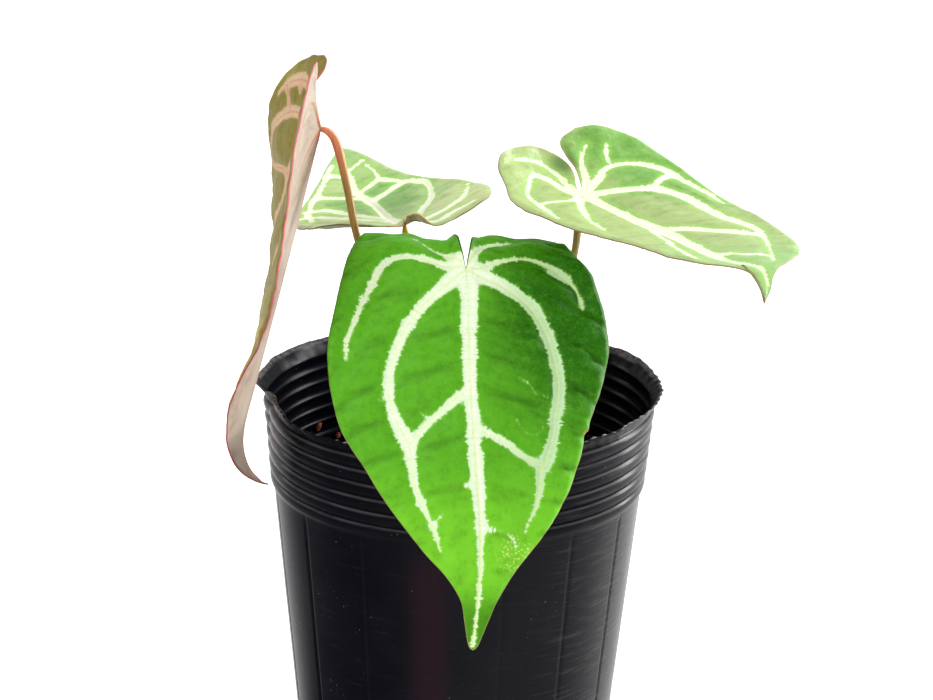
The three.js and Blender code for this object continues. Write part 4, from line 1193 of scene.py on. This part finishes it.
def pot_finish():
    """Thin black plastic with half a gloss: brush streaks, dust specks and a worn pale lip edge, with a
    painted maroon reflection on the front and painted highlights on the beads and on the scratches at the
    right.
    """
    made, tree, surface = new_finish(
        "pot_plastic", Specular_IOR_Level=0.01, Coat_Roughness=0.24, Coat_IOR=1.5
    )
    place = object_place(tree)
    spread = put(tree, "SeparateXYZ", {0: place}).outputs
    height = spread["Z"]
    turn = calc(tree, "ARCTAN2", spread["Y"], spread["X"])
    inside = carried(tree, "inside")
    wrap = put(tree, "CombineXYZ", {"X": times(tree, turn, 0.05), "Z": height}).outputs[0]
    streaks = grain(tree, stretched(tree, wrap, (0.08, 1, 1), (0, 0.5, 0)), 900.0, 4.0, 0.65)
    clouds = grain(tree, place, 38.0, 4.0, 0.6)
    dust = grain(tree, place, 1300.0, 2.0, 0.6)
    scuffs = grain(tree, place, 700.0, 3.0)
    # each bead loses most of its gloss in its groove, a painted shade, and is painted paler just below it, a
    # painted highlight that is stronger to the right
    phase = calc(tree, "FRACT", calc(tree, "DIVIDE", less(tree, height, BAND_FOOT * MM), BEAD_PITCH * MM))
    in_band = between(tree, height, 0.0968, 0.0975, 0.1215, 0.122)
    off_middle = calc(tree, "ABSOLUTE", less(tree, phase, 0.5))
    groove = times(tree, in_band, ramp(tree, off_middle, 0.4, 0.48))
    painted_rib_highlight = times(tree, between(tree, phase, 0.7, 0.84, 0.88, 0.95), less(tree, 1.0, inside))
    painted_rib_highlight = times(tree, painted_rib_highlight, in_band)
    painted_rib_highlight = times(tree, painted_rib_highlight, ramp(tree, streaks, 0.3, 0.6, 0.25, 1.0))
    painted_rib_highlight = times(tree, painted_rib_highlight, ramp(tree, turn, -1.25, -0.6, 0.25, 0.5))
    # painted reflection: a faint maroon glow painted low on the front of the pot
    painted_reflection = beside(tree, turn, REFLECTION_BEARING, 0.01, 0.17, 0.6)
    painted_reflection = times(tree, painted_reflection, ramp(tree, height, 0.085, 0.1, 1.0, 0.0))
    bruise = beside(tree, turn, BRUISE_BEARING, 0.03, 0.2, 0.75)
    bruise = times(tree, bruise, ramp(tree, height, 0.101, 0.113))
    # painted highlight: the brushed scratches are painted paler only on the right side, where the light
    # catches them
    painted_scratch_highlight = times(tree, ramp(tree, streaks, 0.48, 0.66, 0.0, 0.6), ramp(tree, turn, -1.2, -0.7))
    painted_scratch_highlight = times(tree, painted_scratch_highlight, ramp(tree, turn, -0.2, 0.5, 1.0, 0.15))
    specks = times(tree, ramp(tree, dust, 0.72, 0.78), ramp(tree, clouds, 0.42, 0.62))
    worn = times(tree, carried(tree, "worn"), ramp(tree, scuffs, 0.35, 0.6, 0.25, 0.9))
    plain = mix(tree, ramp(tree, clouds, 0.3, 0.75), seen(4, 5, 11), seen(11, 11, 19))
    colour = coats(tree, plain, (
        (painted_reflection, seen(38, 14, 26)),
        (bruise, seen(62, 42, 36)),
        (painted_rib_highlight, seen(118, 114, 114)),
        (ramp(tree, streaks, 0.55, 0.8, 0.0, 0.5), seen(40, 38, 44)),
        (painted_scratch_highlight, seen(58, 54, 54)),
        (times(tree, specks, 0.8), seen(160, 160, 170)),
        (worn, seen(160, 154, 152)),
    ))
    rough = plus(tree, 0.2, times(tree, streaks, 0.1))
    rough = plus(tree, rough, times(tree, clouds, 0.08))
    coat = coat_share(tree, turn, inside, in_band, groove)
    fill(tree, surface, {"Base Color": colour, "Roughness": rough, "Coat Weight": coat})
    bump(tree, surface, plus(tree, streaks, clouds), 0.12, 0.25)
    return made


pot_plastic = pot_finish()
make_pot_wall(pot_plastic)
make_pot_floor(pot_plastic)


# Potting mix and what lies on it

MIX_LEVEL = 84
MIX_MOUND = 2.2
MIX_ROUGHNESS = 0.8
# the bed's side: radius and height at its shoulder and at its foot
MIX_TOP_RADIUS = 52
MIX_SHOULDER = (50.4, 66)
MIX_FOOT = (44.1, 2.7)
CRUMB_REACH = 50


def mix_height(x, y):
    """Height of the uneven mix surface."""
    r = np.hypot(x, y) / 53.5
    ripple = np.sin(x * 0.31 + 1.3) * np.cos(y * 0.27) + 0.6 * np.sin(y * 0.53 + x * 0.11)
    return MIX_LEVEL + MIX_MOUND * (1 - r * r) + MIX_ROUGHNESS * ripple * (1 - r**4)


def earthy_finish(name, dark, light, scale, rough=0.92):
    """A clumpy natural skin between two tones."""
    made, tree, surface = new_finish(name, Roughness=rough)
    place = object_place(tree)
    clumps = grain(tree, place, scale, 5.0, 0.65)
    specks = grain(tree, place, scale * 6, 3.0, 0.6)
    colour = mix(tree, ramp(tree, clumps, 0.35, 0.68), dark, light)
    colour = mix(tree, ramp(tree, specks, 0.55, 0.75, 0.0, 0.5), colour, light)
    tree.links.new(colour, surface.inputs["Base Color"])
    bump(tree, surface, plus(tree, clumps, specks), 0.8, 0.6)
    return made


mix_soil = earthy_finish("mix", seen(34, 24, 17), seen(88, 62, 42), 260.0)
bark_skin = earthy_finish("bark", seen(74, 40, 22), seen(150, 92, 52), 180.0)
husk_skin = earthy_finish("husk", seen(122, 54, 26), seen(196, 104, 52), 420.0)
perlite_skin = earthy_finish("perlite", seen(196, 194, 188), seen(240, 239, 234), 300.0)
root_skin = earthy_finish("root_skin", seen(126, 116, 78), seen(176, 166, 122), 220.0, 0.8)
stem_skin = earthy_finish("stem_skin", seen(92, 88, 44), seen(140, 132, 74), 160.0, 0.6)
sheath_skin = earthy_finish("dry_sheath", seen(120, 82, 46), seen(176, 134, 84), 240.0, 0.85)


def make_mix_bed():
    """The uneven bed: a round grid for its top, drawn down to the pot's floor and closed."""
    deselect()
    bpy.ops.mesh.primitive_grid_add(x_subdivisions=150, y_subdivisions=150, size=2)
    bed = named("mix_bed")
    grid = places(bed) * MM
    square = np.maximum(np.abs(grid[:, 0]), np.abs(grid[:, 1]))
    round_off = square / np.maximum(np.hypot(grid[:, 0], grid[:, 1]), 1e-9)
    x = grid[:, 0] * round_off * MIX_TOP_RADIUS
    y = grid[:, 1] * round_off * MIX_TOP_RADIUS
    z = mix_height(x, y)
    for i in range(len(x)):
        p = Vector((x[i], y[i], 0))
        z[i] += 1.5 * noise.noise(p / 3.2) + 0.9 * noise.noise(p / 1.3 + Vector((7, 3, 1)))
    move_to(bed, np.stack([x, y, z], 1))
    make_one(bed)
    bpy.ops.object.mode_set(mode="EDIT")
    bpy.ops.mesh.select_all(action="SELECT")
    bpy.ops.mesh.region_to_loop()
    bpy.ops.mesh.extrude_region_move(TRANSFORM_OT_translate={"value": (0, 0, -0.02)})
    bpy.ops.mesh.extrude_region_move(TRANSFORM_OT_translate={"value": (0, 0, -0.04)})
    bpy.ops.mesh.edge_face_add()
    bpy.ops.object.mode_set(mode="OBJECT")
    points = places(bed)
    spread = np.hypot(points[:, 0], points[:, 1])
    side = points[:, 2] < 70
    foot = points[:, 2] < 45
    target = np.where(foot, MIX_FOOT[0], MIX_SHOULDER[0])
    scale = np.where(side, target / np.maximum(spread, 1e-6), 1)
    points[:, :2] *= scale[:, None]
    points[:, 2] = np.where(foot, MIX_FOOT[1], np.where(side, MIX_SHOULDER[1], points[:, 2]))
    move_to(bed, points)
    weld(bed, 0.01, outward=True)
    return settle(bed, mix_soil, ["potting_mix"])


def make_lump(name, material, node, size, seed, levels=3, jag=0.35):
    """A rough broken lump that stands where its node lies."""
    low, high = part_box(node)
    centre = (low + high) / 2
    deselect()
    bpy.ops.mesh.primitive_ico_sphere_add(subdivisions=levels, radius=1)
    lump = named(name)
    points = places(lump) * MM
    rng = random.Random(seed)
    shift = Vector((rng.uniform(-9, 9), rng.uniform(-9, 9), rng.uniform(-9, 9)))
    turn = Matrix.Rotation(seed * 1.7, 3, "Z")
    for i, p in enumerate(points):
        v = Vector(p)
        v *= 0.92 + jag * noise.noise(v * 1.4 + shift) + 0.5 * jag * noise.noise(v * 4.1 + shift)
        v = Vector((v.x * size[0], v.y * size[1], v.z * size[2]))
        v = turn @ v
        points[i] = (v.x + centre.x / MM, v.y + centre.y / MM, v.z + centre.z / MM)
    points[:, 2] += low.z / MM - points[:, 2].min()
    move_to(lump, points)
    return settle(lump, material, [node], smooth=False)


def make_husk(name, place, size, turn):
    """A small curled crumb of husk that clings to the inner wall."""
    deselect()
    bpy.ops.mesh.primitive_ico_sphere_add(subdivisions=3, radius=1)
    husk = named(name)
    points = places(husk) * MM
    spin = Matrix.Rotation(turn, 3, "Z") @ Matrix.Rotation(0.5, 3, "Y")
    for i, p in enumerate(points):
        v = Vector(p)
        v *= 0.85 + 0.4 * noise.noise(v * 1.8 + Vector((turn, 2, 5)))
        v = spin @ Vector((v.x * size[0], v.y * size[1] + 0.5 * v.x * v.x, v.z * size[2]))
        points[i] = (v.x + place[0], v.y + place[1], v.z + place[2])
    move_to(husk, points)
    return settle(husk, husk_skin, [], smooth=False)


BARK = (
    (5, 3.2, 1.8), (4, 3, 1.6), (5.5, 3.4, 2), (4.2, 2.8, 1.7), (5, 3.6, 1.9), (4.4, 3, 1.6), (5.2, 3.2, 2),
    (4, 3.2, 1.7), (5.4, 3, 1.8), (4.2, 2.6, 1.6),
)
PERLITE = ((1.9, 1.7, 1.5), (1.6, 1.5, 1.3), (2, 1.8, 1.6), (1.7, 1.6, 1.4), (1.8, 1.6, 1.5))

make_mix_bed()
for i, size in enumerate(BARK):
    make_lump(f"bark_{i + 1}", bark_skin, f"bark_chunk_{i + 1}", size, i + 1)
for i, size in enumerate(PERLITE):
    make_lump(f"perlite_{i + 1}", perlite_skin, f"perlite_grain_{i + 1}", size, i + 31, 2, 0.2)
make_husk("husk_1", (-43.5, 32.5, 100), (1.1, 0.5, 1.5), 0.6)
make_husk("husk_2", (-37.6, 37.6, 95.5), (1.3, 0.5, 1.1), 0.9)


def make_crumbs(name, material, count, seed, smallest, largest):
    """Many small crumbs of one shape, strewn over the mix as one piece."""
    rng = random.Random(seed)
    deselect()
    bpy.ops.mesh.primitive_ico_sphere_add(subdivisions=1, radius=1)
    first = named(name)
    shape = places(first) * MM
    copies = [first]
    for _ in range(count - 1):
        copy = first.copy()
        copy.data = first.data.copy()
        bpy.context.collection.objects.link(copy)
        copies.append(copy)
    for crumb in copies:
        bearing = rng.uniform(0, 2 * math.pi)
        reach = CRUMB_REACH * math.sqrt(rng.uniform(0.03, 0.97))
        size = rng.uniform(smallest, largest)
        stretch = size * np.array([rng.uniform(0.8, 1.7), rng.uniform(0.6, 1.1), rng.uniform(0.35, 0.7)])
        jag = np.array([[rng.uniform(0.75, 1.2)] for _ in range(len(shape))])
        turn = Matrix.Rotation(rng.uniform(0, 6.3), 3, "Z")
        tilt = Matrix.Rotation(rng.uniform(-0.5, 0.5), 3, "X")
        x, y = reach * math.cos(bearing), reach * math.sin(bearing)
        spot = np.array([x, y, float(mix_height(x, y)) + 0.3 * size + 0.6])
        move_to(crumb, (shape * jag * stretch) @ np.array(turn @ tilt).T + spot)
    make_one(first)
    for crumb in copies:
        crumb.select_set(True)
    bpy.ops.object.join()
    return settle(bpy.context.object, material, [], smooth=False)


make_crumbs("bark_crumbs", bark_skin, 260, 5, 0.8, 2.6)
make_crumbs("dark_crumbs", mix_soil, 320, 6, 0.6, 2.2)
make_crumbs("perlite_crumbs", perlite_skin, 60, 7, 0.5, 1.3)


# Stem, dry sheaths and surface roots

STEM_FOOT = 70
STEM_TOP = 94
SHEATHS = 4
SHEATH_THICKNESS = 0.35
ROOTS = 4
ROOT_RADIUS = 1.3
ROOT_START = 6.1

# the rootstock, ringed by its leaf scars
scars = [(5.0 + 0.45 * math.cos(z * 1.5), z) for z in np.linspace(72, 92.6, 40)]
outline = [(0, STEM_FOOT), (3.5, STEM_FOOT), *scars, (4.6, 93.7), (3.4, STEM_TOP), (0, STEM_TOP)]
settle(spin_profile("rootstock", outline, 48), stem_skin, ["stem"])


def make_sheath(index):
    """A dry pointed scale that curves round the stem."""
    node = f"dry_sheath_{index + 1}"
    low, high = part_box(node)
    top, foot = high.z / MM, low.z / MM
    deselect()
    bpy.ops.mesh.primitive_grid_add(x_subdivisions=12, y_subdivisions=24, size=2)
    sheath = named(f"sheath_{index + 1}")
    grid = places(sheath) * MM
    u, v = grid[:, 0], (grid[:, 1] + 1) / 2
    bearing = (index + 0.5) * 2 * math.pi / SHEATHS
    width = 3.1 * np.sqrt(np.clip(1 - v**1.7, 0, 1)) + 0.12
    reach = 6.15 + 0.9 * v + 0.35 * np.sin(5 * v + index)
    turn = bearing + u * width / 6.6
    wrinkle = 0.18 * np.sin(9 * u + index) * v
    out = reach + wrinkle
    move_to(sheath, np.stack([out * np.cos(turn), out * np.sin(turn), foot + (top - foot) * v], 1))
    thicken(sheath, SHEATH_THICKNESS, 0)
    weld(sheath, 0.003, outward=True)
    return settle(sheath, sheath_skin, [node])


def make_root(index):
    """A root that leaves the stem and runs over the mix, as far out as its node reaches."""
    node = f"surface_root_{index + 1}"
    low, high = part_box(node)
    far = max(abs(low.x), abs(high.x), abs(low.y), abs(high.y)) / MM - 0.2
    way = 0.35 * (1 if index % 2 else -1)
    points = []
    for share in (0, 0.35, 0.7, 1):
        reach = ROOT_START + (far - ROOT_START) * share
        turn = index * 2 * math.pi / ROOTS + way * share
        x, y = reach * math.cos(turn), reach * math.sin(turn)
        arch = 0.8 + 1.6 * math.sin(math.pi * share)
        points.append((x, y, float(mix_height(x, y)) + ROOT_RADIUS + arch))
    return make_stalk(f"root_{index + 1}", points, ROOT_RADIUS, root_skin, [node], 30,
                      lambda share: 1 - 0.5 * share**3)


for i in range(SHEATHS):
    make_sheath(i)
    make_root(i)


# Stage, light and background

def stage_finish():
    made, tree, surface = new_finish("pale_floor", Roughness=0.9, Specular_IOR_Level=0.1)
    clouds = grain(tree, object_place(tree), 2.0, 2.0)
    colour = mix(tree, clouds, (0.93, 0.93, 0.93, 1), (0.95, 0.95, 0.95, 1))
    tree.links.new(colour, surface.inputs["Base Color"])
    return made


WORLD_STRENGTH = 1.02
SUN_STRENGTH = 1.7
SUN_ANGLE = 25

deselect()
bpy.ops.mesh.primitive_plane_add(size=12, location=(0, 0, 0))
ground = named("studio_floor")
ground.data.materials.append(stage_finish())

world = bpy.data.worlds.new("studio")
bpy.context.scene.world = world
world.use_nodes = True
world.node_tree.nodes["Background"].inputs["Color"].default_value = (1, 1, 1, 1)
world.node_tree.nodes["Background"].inputs["Strength"].default_value = WORLD_STRENGTH


def aimed(lamp, place, target):
    """Turns a lamp to look from its place at a target."""
    way = Vector(target) - Vector(place)
    lamp.rotation_euler = way.to_track_quat("-Z", "Y").to_euler()


def soft_panel(name, place, target, size, watts):
    """A soft rectangular lamp; place, target and size are in millimetres."""
    deselect()
    bpy.ops.object.light_add(type="AREA", location=[c * MM for c in place])
    lamp = bpy.context.object
    lamp.name = name
    lamp.data.shape = "RECTANGLE"
    lamp.data.size, lamp.data.size_y = (s * MM for s in size)
    lamp.data.energy = watts
    aimed(lamp, place, target)


KEY_PLACE = (-800, -900, 1150)
deselect()
bpy.ops.object.light_add(type="SUN", location=[c * MM for c in KEY_PLACE])
key_light = bpy.context.object
key_light.name = "key_light"
key_light.data.angle = math.radians(SUN_ANGLE)
key_light.data.energy = SUN_STRENGTH
aimed(key_light, KEY_PLACE, (0, 0, 100))
soft_panel("right_panel", (900, 420, 420), (0, 0, 90), (240, 900), 19)
soft_panel("right_strip", (820, 480, 520), (0, 0, 110), (420, 70), 3)
soft_panel("left_panel", (-900, 500, 300), (0, 0, 90), (90, 600), 2.2)

bpy.context.scene.view_settings.view_transform = "Standard"
